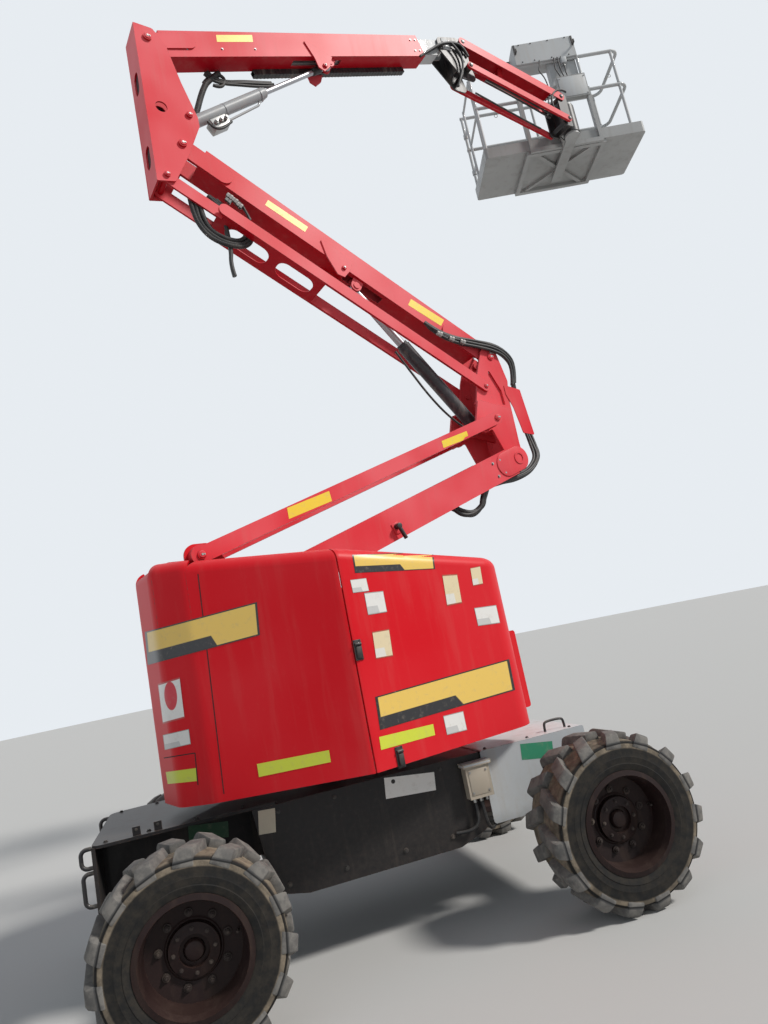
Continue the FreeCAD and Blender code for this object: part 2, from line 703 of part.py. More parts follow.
def cylinder_pair(foot, eye, barrel_length, retract, barrel_radius, rod_radius, foot_half, eye_half, foot_bore,
                  head_radius):
    """Barrel with its foot eye, and rod with its head eye, along the line between the two pins.

    retract is how far the pair shortens from its rest length."""
    a = Vector(foot[0], 0, foot[1])
    b = Vector(eye[0], 0, eye[1])
    way = (b - a).normalize()
    length = (b - a).Length
    skin = Part.makeCylinder(barrel_radius, barrel_length - 40, a + way * 40, way)
    gland = Part.makeCylinder(barrel_radius * 0.86, 30, a + way * (barrel_length - 5), way)
    foot_eye = pin(foot, foot_bore + 24, -foot_half, foot_half)
    barrel = fuse([skin, gland, foot_eye])
    barrel = barrel.cut(Part.makeCylinder(rod_radius + 0.3, barrel_length, a + way * 90, way))
    barrel = barrel.cut(pin(foot, foot_bore + 0.3, -400, 400))
    inside = 100 + retract
    rod = Part.makeCylinder(rod_radius, length - inside, a + way * inside, way)
    head = pin(eye, head_radius, -eye_half, eye_half)
    return barrel, fuse([rod, head])


# Main boom

def main_boom():
    """Base section: a square tube that hangs a little below the line of its pin."""
    over = boom_height / 2 - boom_sag
    under = boom_height / 2 + boom_sag
    outer = boom_half
    tubes = beam(pin_boom, boom_rise, 130, base_length, under, over, -outer, outer)
    tubes = tubes.cut(beam(pin_boom, boom_rise, 138, base_length + 1, under - wall, over - wall,
                           -outer + wall, outer - wall))
    cheeks = both(outer, outer + 12, lambda y0, y1: strap(pin_boom, boom_rise, 0, 330, 62, y0, y1))
    heads = both(outer - 10, upright_half - sheet - side_gap, lambda y0, y1: pin(pin_boom, 56, y0, y1))
    reach = luff_eye_reach
    lug = both(luff_lug_in, luff_lug_in + 16, lambda y0, y1: beam(
        pin_boom, boom_rise, reach - 60, reach + 60, luff_eye_drop, 4 - under, y0, y1))
    lug += both(luff_lug_in, luff_lug_in + 16, lambda y0, y1: pin(pin_luff_eye, 40, y0, y1))
    lug += both(luff_lug_in + 15, luff_lug_in + 22, lambda y0, y1: pin(pin_luff_eye, 24, y0, y1))
    tubes = tubes.cut(rod_mouth(boom_axis_start(), under))
    solid = fuse([tubes] + cheeks + heads + lug)
    return solid.cut(both_cut(pin_boom, 30.3))


def boom_axis_start():
    """Start of the boom tubes' centre line, a little below the pin."""
    return along(pin_boom, boom_rise, 0, boom_sag)


def rod_mouth(start, low):
    """Room in a boom's underside for the head of the luffing rod."""
    reach = luff_eye_reach
    return beam(start, boom_rise, reach - 360, reach + 150, low + 20, -40, -luff_lug_in, luff_lug_in)


def hose_tray():
    """Trough under the far edge of the boom."""
    under = boom_height / 2 + boom_sag
    tray = beam(pin_boom, boom_rise, 900, 2560, under + 46, -under - seat_gap, 56, 104)
    return tray.cut(beam(pin_boom, boom_rise, 890, 2570, under + 42, -under - 6, 60, 100))


def fly_boom():
    start = 900
    axis = boom_axis_start()
    tubes = tube_beam(axis, boom_rise, start, fly_pin_reach - 120, fly_height / 2, fly_half, wall)
    tubes = tubes.cut(beam(axis, boom_rise, start - 1, luff_eye_reach + 130, fly_height, -30, -luff_lug_in, luff_lug_in))
    room = boom_height / 2 - wall - 0.3
    pads = []
    for s in (start + 40, base_length - 90):
        pads += both(luff_lug_in, 50, lambda y0, y1: beam(axis, boom_rise, s, s + 60, room, 1 - fly_height / 2, y0, y1))
        pads.append(beam(axis, boom_rise, s, s + 60, 1 - fly_height / 2, room, -50, 50))
    cheeks = both(fly_half - 14, fly_half, lambda y0, y1: strap(pin_fly, boom_rise, -260, 0, 60, y0, y1))
    pins = pin(pin_fly, 26, -fly_half - 30, fly_half + 30)
    return fuse([tubes] + pads + cheeks + [pins])


# Jib

def jib_base():
    f, j = pin_fly, pin_jib
    rows = [(f[0] - 70, f[1] + 60, 50), (f[0] - 70, f[1] - 70, 50), (j[0] - 70, j[1] - jib_spacing - 110, 40),
            (j[0] + 110, j[1] - jib_spacing - 110, 50), (j[0] + 66, j[1] - jib_spacing + 60, 40),
            (j[0] + 60, j[1] + 60, 50), (j[0] - 60, j[1] + 60, 50)]
    plates = both(fly_half + 8, fly_half + 20, lambda y0, y1: side_plate(rows, y0, y1))
    web = side_plate([(f[0] + 110, f[1] + 90, 0), (f[0] + 122, f[1] + 90, 0), (f[0] + 122, f[1] - 240, 0),
                      (f[0] + 110, f[1] - 240, 0)], -fly_half - 10, fly_half + 10)
    solid = fuse(plates + [web])
    solid = solid.cut(pin(f, 26.3, -400, 400))
    bosses = both(fly_half + 19, 108, lambda y0, y1: pin(j, 38, y0, y1))
    bosses += both(fly_half + 19, 124, lambda y0, y1: pin(pin_jib_low, 32, y0, y1))
    pins = both(fly_half + 6, 120, lambda y0, y1: pin(j, 22, y0, y1))
    pins += [pin(pin_jib_low, 22, -156, 156), pin(pin_jib_foot, 18, -100, 100)]
    return fuse([solid] + bosses + pins)


def jib_arm():
    """Wide channel, open below, between the jib base and the head."""
    outer = 118.0
    sides = both(outer - 8, outer, lambda y0, y1: strap(pin_jib, -jib_drop, 0, jib_length, 46, y0, y1))
    roof = beam(pin_jib, -jib_drop, 90, jib_length - 90, -38, 46, -outer + 4, outer - 4)
    eye = both(20, 30, lambda y0, y1: strap(pin_jib_eye, -jib_drop + 90, 0, jib_eye_drop + 18, 26, y0, y1))
    solid = fuse(sides + [roof] + eye)
    solid = solid.cut(pin(pin_jib, 22.3, -400, 400))
    return solid.cut(pin(pin_head, 22.3, -400, 400))


def jib_bars():
    bars = []
    for y0, y1 in ((126, 150), (-150, -126)):
        bar = strap(pin_jib_low, -jib_drop, 0, jib_length, 34, y0, y1)
        bar = bar.cut(pin(pin_jib_low, 22.3, -400, 400))
        bars.append(bar.cut(pin(pin_head_low, 22.3, -400, 400)))
    return Part.makeCompound(bars)


def rotator():
    """Head of the jib with the swing actuator."""
    h = pin_head
    rows = [(h[0] - 50, h[1] + 52, 40), (h[0] - 50, h[1] - jib_spacing - 46, 40),
            (h[0] + 92, h[1] - jib_spacing - 46, 20), (h[0] + 92, h[1] + 52, 20)]
    plates = both(90, 104, lambda y0, y1: side_plate(rows, y0, y1))
    back = box(h[0] + 60, h[0] + 92, -100, 100, h[1] - jib_spacing - 30, h[1] + 30)
    drum = Part.makeCylinder(88, h[1] - 20 - floor_low + 40, Vector(swing_x, 0, floor_low - 40))
    pins = [pin(h, 22, -124, 124), pin(pin_head_low, 22, -156, 156)]
    return fuse(plates + [back, drum] + pins)


# Platform, drawn square to the boom and turned to its rest angle

def platform_mount():
    """Bracket from the swing actuator under the platform and up to its rail."""
    low = floor_low - 40 - seat_gap
    high = pin_head[1] - 20 + seat_gap
    x = swing_x
    hubs = [Part.makeCylinder(80, 24, Vector(x, 0, low - 24)), Part.makeCylinder(80, 24, Vector(x, 0, high))]
    foot = box(x, x + platform_back + 560, -60, 60, low - 24, low)
    head = box(x, x + platform_back - 8, -60, 60, high, high + 24)
    post = box(x + platform_back - 40, x + platform_back - 8, -60, 60, low - 24, high + 24)
    back = x + platform_back - seat_gap
    legs = [box(back - 30, back, y - 20, y + 20, floor_low - 40, floor_low + 650) for y in (-395, 395)]
    cross = [box(back - 30, back, -395, 395, floor_low + level, floor_low + level + 50) for level in (-40, 590)]
    case = box(back - 36, back + 16, -400, -70, floor_low + 545, floor_low + 825)
    return fuse([foot, head, post, case] + hubs + legs + cross)


def platform_rows(inset):
    x0 = swing_x + platform_back
    x1 = x0 + platform_depth
    w = platform_length / 2
    return [(x0 + inset, -w + inset, 30), (x1 - inset, -w + inset, 30), (x1 - inset, w - inset, 30),
            (x0 + inset, w - inset, 30)]


def platform_floor():
    z = floor_low
    x0 = swing_x + platform_back
    pan = plan_plate(platform_rows(0), z, z + toe_board)
    pan = pan.cut(plan_plate(platform_rows(6), z + 6, z + toe_board + 10))
    ribs = []
    for y in (-430, 430):
        ribs.append(box(x0 + 10, x0 + platform_depth - 10, y - 25, y + 25, z - 40, z + 1))
    for x in (x0 + 10, x0 + platform_depth - 60):
        ribs.append(box(x, x + 50, -430, 430, z - 40, z + 1))
    middle = Vector(x0 + platform_depth / 2, 0, 0)
    for turn in (-44, 44):
        bar = box(middle.x - 570, middle.x + 570, -20, 20, z - 30, z + 1)
        bar.rotate(middle, Vector(0, 0, 1), 90 + turn)
        ribs.append(bar.common(box(x0 + 20, x0 + platform_depth - 20, -440, 440, z - 40, z + 10)))
    return fuse([pan] + ribs)


def rail_corners():
    """Low and high x and half length of the rails' centre lines."""
    x0 = swing_x + platform_back + rail_inset
    return x0, x0 + platform_depth - 2 * rail_inset, platform_length / 2 - rail_inset


def platform_rails():
    x0, x1, w = rail_corners()
    z = floor_low
    rails = []
    for level in (rail_rise, rail_rise * 0.6):
        h = z + level
        rails.append(bent_tube([(x1, w + tube, h), (x1, -w, h), (x0, -w, h), (x0, w + tube, h)], rail_bend, tube))
    for x, y in [(x0, -w + rail_bend), (x0, w), (x1, -w + rail_bend), (x1, w), (x0, -395), (x0, 395), (x1, 0)]:
        rails.append(Part.makeCylinder(tube - 3, rail_rise - 6.3, Vector(x, y, z + 6.3)))
    return fuse(rails)


def platform_gate():
    """Gate that fills the open end of the rails and swings inwards about their far post."""
    x0, x1, w = rail_corners()
    z = floor_low
    a = x0 + tube + 40
    b = x1 - 150
    parts = []
    for level in (rail_rise - 45, rail_rise * 0.6 - 45, toe_board + 40):
        parts.append(pin_x(a, b, w, z + level, tube * 0.7))
    for x in (a, b):
        parts.append(Part.makeCylinder(tube * 0.8, rail_rise - toe_board - 50, Vector(x, w, z + toe_board + 20)))
    for level in (320, 820):
        sleeve = Part.makeCylinder(tube + 6, 50, Vector(x1, w, z + level))
        arm = box(b, x1, w - 5, w + 5, z + level, z + level + 50)
        parts.append(sleeve.fuse(arm).cut(Part.makeCylinder(tube - 3 + seat_gap, 60, Vector(x1, w, z + level - 5))))
    return fuse(parts)


def pin_x(x0, x1, y, z, radius):
    return Part.makeCylinder(radius, x1 - x0, Vector(x0, y, z), Vector(1, 0, 0))


def gate_hinge():
    x0, x1, w = rail_corners()
    return x1, w, floor_low + 500


def control_box():
    """Control console that sits on the rail at the boom side, with its lower case inside the rails."""
    x = rail_corners()[0]
    z = floor_low + rail_rise
    rest = z + tube + seat_gap
    rows = [(x - 42, z - 10, 4), (x - tube - 3, z - 10, 0), (x - tube - 3, rest, 0), (x + 190, rest, 0),
            (x + 222, z + 100, 20), (x + 150, z + 240, 20), (x - 42, z + 255, 8)]
    top = side_plate(rows, -388, 315)
    low = box(x + tube + 3, x + 120, -380, -60, floor_low + 800, rest + 1)
    return fuse([top, low])


def build():
    on_chassis("chassis_frame", chassis_frame())
    covers()
    on_chassis("tie_down_loops", tie_loops())
    on_chassis("drive_axle", drive_axle())
    on_chassis("steer_axle", steer_axle())
    on_chassis("steer_knuckle_near", steer_knuckle(-1))
    on_chassis("steer_knuckle_far", steer_knuckle(1))
    on_chassis("tie_rod", tie_rod())
    on_chassis("junction_box", junction_box())
    ring = Part.makeCylinder(ring_radius, table_bottom - seat_gap - chassis_top, Vector(0, 0, chassis_top))
    on_chassis("slew_ring", ring.cut(Part.makeCylinder(240, 200, Vector(0, 0, chassis_top - 20))))
    wheel_set()
    on_turret("turntable", turntable())
    on_turret("turret_front", turret_front())
    skin = hood_skin()
    hood = hood_near(skin)
    on_turret("hood_far", mirror_y(hood))
    on_turret("hood_near", hood)
    on_turret("tail_hood", tail_hood(skin))
    on_turret("counterweight", counterweight())
    on_turret("engine", engine())
    on_turret("hydraulic_tank", tanks())
    on_turret("lower_arm", lower_arm())
    on_turret("lower_links", lower_links())
    on_turret("tower_knuckle", tower_knuckle())
    on_turret("hose_guard", hose_guard())
    on_turret("upper_arm", upper_arm())
    on_turret("upper_link", upper_link())
    on_turret("upright", upright())
    barrel, rod = cylinder_pair(tower_foot, pin_tower_eye, 900, 480, 54, 34, 56, 38, 24, 38)
    on_turret("tower_cylinder", barrel)
    on_turret("tower_rod", rod)
    on_turret("main_boom", main_boom())
    on_turret("hose_tray", hose_tray())
    on_turret("fly_boom", fly_boom())
    barrel, rod = cylinder_pair(pin_luff_foot, pin_luff_eye, 830, 200, 45, 21, 60, luff_lug_in - 2, 24, 30)
    on_turret("luff_cylinder", barrel)
    on_turret("luff_rod", rod)
    on_turret("jib_base", jib_base())
    on_turret("jib_arm", jib_arm())
    on_turret("jib_bars", jib_bars())
    on_turret("rotator", rotator())
    barrel, rod = cylinder_pair(pin_jib_foot, pin_jib_eye, 385, 102, 32, 16, 40, 17, 18, 24)
    on_turret("jib_cylinder", barrel)
    on_turret("jib_rod", rod)
    on_platform("platform_mount", platform_mount())
    on_platform("platform_gate", platform_gate())
    on_platform("platform_floor", platform_floor())
    on_platform("platform_rails", platform_rails())
    on_platform("control_box", control_box())


build()
whole = Part.makeCompound(list(nodes.values())).BoundBox
origin_shift = Vector(-whole.Center.x, -whole.Center.y, tyre_radius - axle_height)
for node_name, node_shape in nodes.items():
    node_shape.translate(origin_shift)
    node_shape.exportStep("parts/" + node_name + ".step")
    print(node_name, len(node_shape.Solids), node_shape.isValid(), round(node_shape.Volume / 1e6, 2))
print("origin shift", origin_shift)
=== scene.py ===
import json
import math
import random

import bmesh
import bpy
from mathutils import Matrix, Vector
from mathutils.bvhtree import BVHTree


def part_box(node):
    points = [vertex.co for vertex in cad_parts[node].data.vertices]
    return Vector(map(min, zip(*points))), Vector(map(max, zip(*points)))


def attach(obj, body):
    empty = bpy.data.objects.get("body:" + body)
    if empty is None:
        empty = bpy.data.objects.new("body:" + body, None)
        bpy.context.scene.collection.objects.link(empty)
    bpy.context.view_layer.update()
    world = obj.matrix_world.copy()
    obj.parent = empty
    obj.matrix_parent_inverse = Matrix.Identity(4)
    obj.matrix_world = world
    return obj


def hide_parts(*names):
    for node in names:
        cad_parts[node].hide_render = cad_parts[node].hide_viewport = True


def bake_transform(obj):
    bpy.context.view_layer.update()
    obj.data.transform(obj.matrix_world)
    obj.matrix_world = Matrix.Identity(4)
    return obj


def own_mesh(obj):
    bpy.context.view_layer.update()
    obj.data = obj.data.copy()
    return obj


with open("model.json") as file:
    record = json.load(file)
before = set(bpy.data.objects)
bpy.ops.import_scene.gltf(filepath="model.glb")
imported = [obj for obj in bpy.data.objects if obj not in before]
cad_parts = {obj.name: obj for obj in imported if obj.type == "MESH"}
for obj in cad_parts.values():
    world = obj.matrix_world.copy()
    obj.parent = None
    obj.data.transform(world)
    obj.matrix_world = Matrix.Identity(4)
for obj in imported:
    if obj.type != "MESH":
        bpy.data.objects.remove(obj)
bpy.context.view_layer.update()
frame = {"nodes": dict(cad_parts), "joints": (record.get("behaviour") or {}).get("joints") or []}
rng = random.Random(7)

SLEW_REST = math.radians(16.3)
SWING_REST = math.radians(58.7)
AXLE_HEIGHT = 0.427
WHEELS = ("steer_near", "steer_far", "drive_near", "drive_far")
UP = Vector((0, 0, 1))
# Near side (-Y) and far side (+Y) of the machine
SIDES = (-1, 1)
# Turns an outline in x and y into one in x and z
ON_EDGE = Matrix.Rotation(math.pi / 2, 4, "X")
# Angle in degrees above which an edge is shaded sharp
SHARP = 28
FILM_LIFT, SEAM_SHADOW_LIFT = 0.0016, 0.0005

tyre_boxes = [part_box("tyre_" + wheel) for wheel in WHEELS]
hub_of = {wheel: (low + high) / 2 for wheel, (low, high) in zip(WHEELS, tyre_boxes)}
centre = sum(hub_of.values(), Vector()) / 4
CHASSIS = Matrix.Translation((centre.x, centre.y, centre.z - AXLE_HEIGHT))
TURRET = CHASSIS @ Matrix.Rotation(SLEW_REST, 4, "Z")
pivot_of = {joint["name"]: Vector(joint["pos_m"]) for joint in frame["joints"] if "pos_m" in joint}
PLATFORM = Matrix.Translation(pivot_of["platform_swing"]) @ Matrix.Rotation(SLEW_REST + SWING_REST, 4, "Z")
from_turret = TURRET.inverted()


def side_name(side):
    return "far" if side > 0 else "near"


def rectangle(x0, y0, x1, y1):
    return [(x0, y0), (x1, y0), (x1, y1), (x0, y1)]


def ring(count, radius, start=0.0):
    """Points (x, y) spaced evenly on a circle."""
    angles = [2 * math.pi * i / count + start for i in range(count)]
    return [(radius * math.cos(angle), radius * math.sin(angle)) for angle in angles]


def pivot(name):
    """A joint's pivot in the turret's own frame."""
    return from_turret @ pivot_of[name]


# Camera at the photograph's angle

PHOTO_WIDTH, PHOTO_HEIGHT = 768, 1024
SENSOR = 36
LENS = 25.08
FOCAL_PIXELS = LENS / SENSOR * PHOTO_HEIGHT
CAMERA_YAW, CAMERA_PITCH, CAMERA_ROLL = 0.2972, 0.1759, -0.1993
eye_point = CHASSIS @ Vector((-0.9718, -4.7534, 1.6116))
forward = Vector((math.sin(CAMERA_YAW) * math.cos(CAMERA_PITCH), math.cos(CAMERA_YAW) * math.cos(CAMERA_PITCH),
                  math.sin(CAMERA_PITCH)))
level_right = Vector((math.cos(CAMERA_YAW), -math.sin(CAMERA_YAW), 0))
level_up = level_right.cross(forward)
camera_right = math.cos(CAMERA_ROLL) * level_right + math.sin(CAMERA_ROLL) * level_up
camera_up = -math.sin(CAMERA_ROLL) * level_right + math.cos(CAMERA_ROLL) * level_up


def sight(px, py):
    """Direction from the camera through a pixel of the photograph."""
    across, up = px - PHOTO_WIDTH / 2, PHOTO_HEIGHT / 2 - py
    return (forward + camera_right * across / FOCAL_PIXELS + camera_up * up / FOCAL_PIXELS).normalized()


def make_camera():
    data = bpy.data.cameras.new("camera")
    data.lens = LENS
    data.clip_end = 300
    camera = bpy.data.objects.new("camera", data)
    turn = Matrix((camera_right, camera_up, -forward)).transposed().to_4x4()
    camera.matrix_world = Matrix.Translation(eye_point) @ turn
    bpy.context.scene.collection.objects.link(camera)
    bpy.context.scene.camera = camera


def on_plane(px, py, y):
    """Turret-frame point where a pixel's line of sight meets the upright plane at y."""
    start = from_turret @ eye_point
    way = from_turret.to_3x3() @ sight(px, py)
    return start + way * ((y - start.y) / way.y)


trees = {}


def tree_of(node, added=()):
    """Search tree of a node's faces, with those of the pieces that are added to it."""
    if node not in trees or added:
        places, faces = [], []
        for mesh in [frame["nodes"][node].data] + [piece.data for piece in added]:
            faces += [[i + len(places) for i in face.vertices] for face in mesh.polygons]
            places += [vert.co.copy() for vert in mesh.vertices]
        trees[node] = BVHTree.FromPolygons(places, faces)
    return trees[node]


def seen(node, px, py):
    """Where a pixel's line of sight meets a node, in the row frame, with the face's normal."""
    place, normal, face, distance = tree_of(node).ray_cast(eye_point, sight(px, py))
    return place, normal


def seat_at(node, px, py):
    """Frame on a node's face at a pixel: origin on the face, Z out of it, Y upwards."""
    place, normal = seen(node, px, py)
    side = UP.cross(normal).normalized()
    return Matrix.Translation(place) @ Matrix((side, normal.cross(side), normal)).transposed().to_4x4()


# Shader arithmetic

def operator(operation, swap=False):
    return lambda self, other: self.math(operation, other, swap)


class Value:
    """A shader socket that takes part in plain arithmetic."""

    def __init__(self, look, socket):
        self.look = look
        self.socket = socket

    def math(self, operation, other, swap=False):
        pair = (other, self) if swap else (self, other)
        return self.look.node("ShaderNodeMath", {"operation": operation}, pair)

    __add__ = __radd__ = operator("ADD")
    __mul__ = __rmul__ = operator("MULTIPLY")
    __sub__ = operator("SUBTRACT")
    __rsub__ = operator("SUBTRACT", True)


class Look:
    """One material: a Principled shader and the nodes that feed it."""

    def __init__(self, name, roughness=0.5, metallic=0.0, coat=0.0, specular=0.5):
        self.material = bpy.data.materials.new(name)
        self.material.use_nodes = True
        self.tree = self.material.node_tree
        self.tree.nodes.clear()
        self.shader = self.tree.nodes.new("ShaderNodeBsdfPrincipled")
        out = self.tree.nodes.new("ShaderNodeOutputMaterial")
        self.tree.links.new(self.shader.outputs[0], out.inputs[0])
        self.set("Roughness", roughness)
        self.set("Metallic", metallic)
        self.set("Coat Weight", coat)
        self.set("Specular IOR Level", specular)
        self.place = self.node("ShaderNodeTexCoord", {}, (), "Object")
        self.geometry = self.node("ShaderNodeNewGeometry", {}, (), "Normal")

    def put(self, socket, value):
        if isinstance(value, Value):
            self.tree.links.new(value.socket, socket)
        elif hasattr(socket.default_value, "__len__") and not hasattr(value, "__len__"):
            socket.default_value = (value,) * len(socket.default_value)
        elif hasattr(value, "__len__") and len(value) == 3 and len(socket.default_value) == 4:
            socket.default_value = (*value, 1.0)
        else:
            socket.default_value = value

    def set(self, name, value):
        self.put(self.shader.inputs[name], value)

    def node(self, kind, settings, sockets, output=0):
        """Any node: its settings first, then values or links by order or by name."""
        made = self.tree.nodes.new(kind)
        for key, value in settings.items():
            setattr(made, key, value)
        pairs = sockets.items() if isinstance(sockets, dict) else enumerate(sockets)
        for key, value in pairs:
            self.put(made.inputs[key], value)
        return Value(self, made.outputs[output])

    def noise(self, scale, detail=3.0, rough=0.55, place=None):
        return self.node("ShaderNodeTexNoise", {}, {"Vector": place or self.place, "Scale": scale, "Detail": detail,
                                                    "Roughness": rough}, "Fac")

    def mix(self, share, a, b):
        return self.node("ShaderNodeMix", {"data_type": "RGBA"}, {0: share, 6: a, 7: b}, 2)

    def rise(self, value, low, high):
        """0 below low, 1 above high, smooth between."""
        return self.node("ShaderNodeMapRange", {"interpolation_type": "SMOOTHSTEP"},
                         {"Value": value, "From Min": low, "From Max": high})

    def part(self, vector, axis):
        return self.node("ShaderNodeSeparateXYZ", {}, (vector,), axis)

    def edge(self, radius=0.006):
        """How sharply the form turns at a point, by the bevel node."""
        soft = self.node("ShaderNodeBevel", {"samples": 4}, (radius,))
        same = self.node("ShaderNodeVectorMath", {"operation": "DOT_PRODUCT"}, (soft, self.geometry), "Value")
        return self.rise(1 - same, 0.03, 0.22)

    def bump(self, height, strength=0.3, distance=0.002):
        self.set("Normal", self.node("ShaderNodeBump", {}, {"Height": height, "Strength": strength,
                                                            "Distance": distance}))

    def facing_up(self):
        return self.rise(self.part(self.geometry, "Z"), 0.2, 0.9)


def painted(name, colour, fade_and_sheen, dust=(0.42, 0.37, 0.31), grime=0.25, roughness=0.38, chips=(0.10, 0.08, 0.07),
            low_dust=0.0, coat=0.1, wear=0.8, specular=0.4, underside_shade=None, sides=0.4):
    """Weathered paint: a fade colour on top and in broad patches, dusty, and a deeper underside colour as painted
    shade on faces that face down where one is given, with chipped edges and a slight ripple.
    """
    look = Look(name, coat=coat, specular=specular)
    broad = look.noise(1.4, 2)
    fine = look.noise(34, 5, 0.65)
    streak = look.node("ShaderNodeMapping", {}, {"Vector": look.place, "Scale": (6, 6, 0.6)})
    runs = look.noise(2.4, 4, 0.6, streak)
    top = look.facing_up()
    # Share of the fade colour, from broad random patches and from faces that face up; in the boom paint this pink
    # colour is also a painted sunlit sheen
    base = look.mix((look.rise(broad, 0.3, 0.7) * sides + top * 0.6).math("MINIMUM", 1), colour, fade_and_sheen)
    # Painted shade: faces that face down are mixed toward the deeper underside colour
    if underside_shade:
        base = look.mix(look.rise(0 - look.part(look.geometry, "Z"), 0.1, 0.6), base, underside_shade)
    dirt = look.rise(runs, 0.48, 0.72) * grime + look.rise(fine, 0.55, 0.8) * grime * 0.6 + top * grime * 0.5
    if low_dust:
        dirt = dirt + (1 - look.rise(look.part(look.place, "Z"), 0.1, 1.1)) * look.rise(fine, 0.2, 0.7) * low_dust
    base = look.mix(dirt.math("MINIMUM", 0.85), base, dust)
    chipped = look.edge() * look.rise(look.noise(60, 4, 0.7), 0.46, 0.6) * wear
    look.set("Base Color", look.mix(chipped, base, chips))
    look.set("Roughness", roughness + dirt * 0.35 + chipped * 0.2)
    look.bump(fine * 0.4 + look.noise(7, 2), 0.12, 0.003)
    return look.material


def steel(name, colour, roughness, streaks=0.15, metallic=1.0):
    """Machined or plated metal with fine turning marks and faint stains."""
    look = Look(name, roughness, metallic)
    fine = look.noise(120, 3, 0.6)
    stain = look.rise(look.noise(9, 4, 0.6), 0.5, 0.75)
    look.set("Base Color", look.mix(stain * streaks, colour, (0.25, 0.2, 0.16)))
    look.set("Roughness", roughness + stain * 0.2 + fine * 0.08)
    look.bump(fine, 0.05, 0.001)
    return look.material


def rubber(name, colour, dusted, ribs=0.0):
    """Hose or seal rubber with dust; ribs is the spacing of its rings along the hose."""
    look = Look(name, 0.6)
    dust = look.rise(look.noise(14, 4, 0.6), 0.42, 0.75) * 0.5 + look.facing_up() * 0.25
    look.set("Base Color", look.mix(dust, colour, dusted))
    look.set("Roughness", 0.5 + dust * 0.3)
    grain = look.noise(160, 2)
    if ribs:
        along = look.node("ShaderNodeAttribute", {"attribute_name": "run"}, (), "Fac")
        wave = (along * (2 * math.pi / ribs)).math("SINE", 0)
        grain = grain * 0.15 + wave * 0.5
        look.bump(grain, 0.8, ribs * 0.3)
    else:
        look.bump(grain, 0.15, 0.001)
    return look.material


def tread(name, colour, dusted, dust_share):
    """Tyre rubber, dusty by distance from the axle, which the mesh carries as reach."""
    look = Look(name, 0.85, specular=0.2)
    reach = look.node("ShaderNodeAttribute", {"attribute_name": "reach"}, (), "Fac")
    worn = look.rise(look.noise(18, 5, 0.65), 0.35, 0.7)
    band = look.rise(reach, 0.374, 0.384) * (1 - look.rise(reach, 0.400, 0.404)) * 0.85
    band = band + look.rise(reach, 0.412, 0.420) * 0.9
    share = (band * (0.45 + worn * 0.55) + worn * dust_share).math("MINIMUM", 0.92)
    base = look.mix(share, colour, dusted)
    line = look.rise(reach, 0.402, 0.405) * (1 - look.rise(reach, 0.408, 0.412))
    look.set("Base Color", look.mix(line * 0.8, base, (0.012, 0.012, 0.012)))
    look.set("Roughness", 0.75 + worn * 0.2)
    look.bump(look.noise(90, 4, 0.7) * 0.5 + look.noise(22, 3), 0.35, 0.004)
    return look.material


def film(name, colour, soil=0.25, roughness=0.35):
    """Printed film or reflective strip, a little scuffed."""
    look = Look(name, roughness)
    scuff = look.rise(look.noise(26, 5, 0.7), 0.5, 0.75) * soil
    look.set("Base Color", look.mix(scuff, colour, (0.36, 0.3, 0.24)))
    look.set("Roughness", roughness + scuff * 0.4)
    look.bump(look.noise(50, 2), 0.05, 0.001)
    return look.material


def panel_film(name, ground, band, edge, disc=None):
    """Blank printed panel: ground colour, a darker slanted band, thin border, or a plain disc."""
    look = Look(name, 0.32)
    place = look.node("ShaderNodeUVMap", {"uv_map": "panel"}, ())
    u, v = look.part(place, "X"), look.part(place, "Y")
    if disc:
        du, dv = u - 0.5, (v - 0.62) * 0.8
        round_share = 1 - look.rise((du * du + dv * dv).math("SQRT", 0), 0.27, 0.29)
        base = look.mix(round_share, ground, disc)
    else:
        low = look.rise(0.38 - v, 0, 0.02) * (1 - look.rise(u + v * 0.14, 0.62, 0.63))
        base = look.mix(low, ground, band)
    border = look.rise((u - 0.5).math("ABSOLUTE", 0), 0.478, 0.484).math("MAXIMUM", look.rise(
        (v - 0.5).math("ABSOLUTE", 0), 0.455, 0.465))
    base = look.mix(border, base, edge)
    scuff = look.rise(look.noise(30, 5, 0.7), 0.52, 0.78) * 0.35
    look.set("Base Color", look.mix(scuff, base, (0.4, 0.33, 0.26)))
    look.set("Roughness", 0.3 + scuff * 0.4)
    return look.material


RED = painted("red_paint", (0.64, 0.004, 0.012), (0.70, 0.035, 0.045), grime=0.04, roughness=0.40, coat=0.0,
              specular=0.18)
# Boom paint: its pink fade colour, spread wide by sides=0.75, is partly sun fade and partly a painted sunlit sheen;
# its deep underside colour is painted shade
BOOM_RED = painted("boom_red_paint", (0.66, 0.022, 0.035), (0.80, 0.15, 0.17), grime=0.06, roughness=0.38,
                   coat=0.0, specular=0.12, underside_shade=(0.42, 0.004, 0.012), sides=0.75)
CHARCOAL = painted("charcoal_paint", (0.010, 0.009, 0.010), (0.030, 0.028, 0.028), dust=(0.13, 0.105, 0.085),
                   grime=0.16, roughness=0.5, chips=(0.12, 0.07, 0.05), low_dust=0.16, specular=0.25)
PALE = painted("pale_grey_paint", (0.47, 0.49, 0.50), (0.58, 0.59, 0.59), grime=0.3, chips=(0.2, 0.14, 0.1),
               roughness=0.45, specular=0.25)
COVER_WHITE = painted("cover_white_paint", (0.42, 0.46, 0.49), (0.64, 0.65, 0.65), grime=0.25, low_dust=0.3)
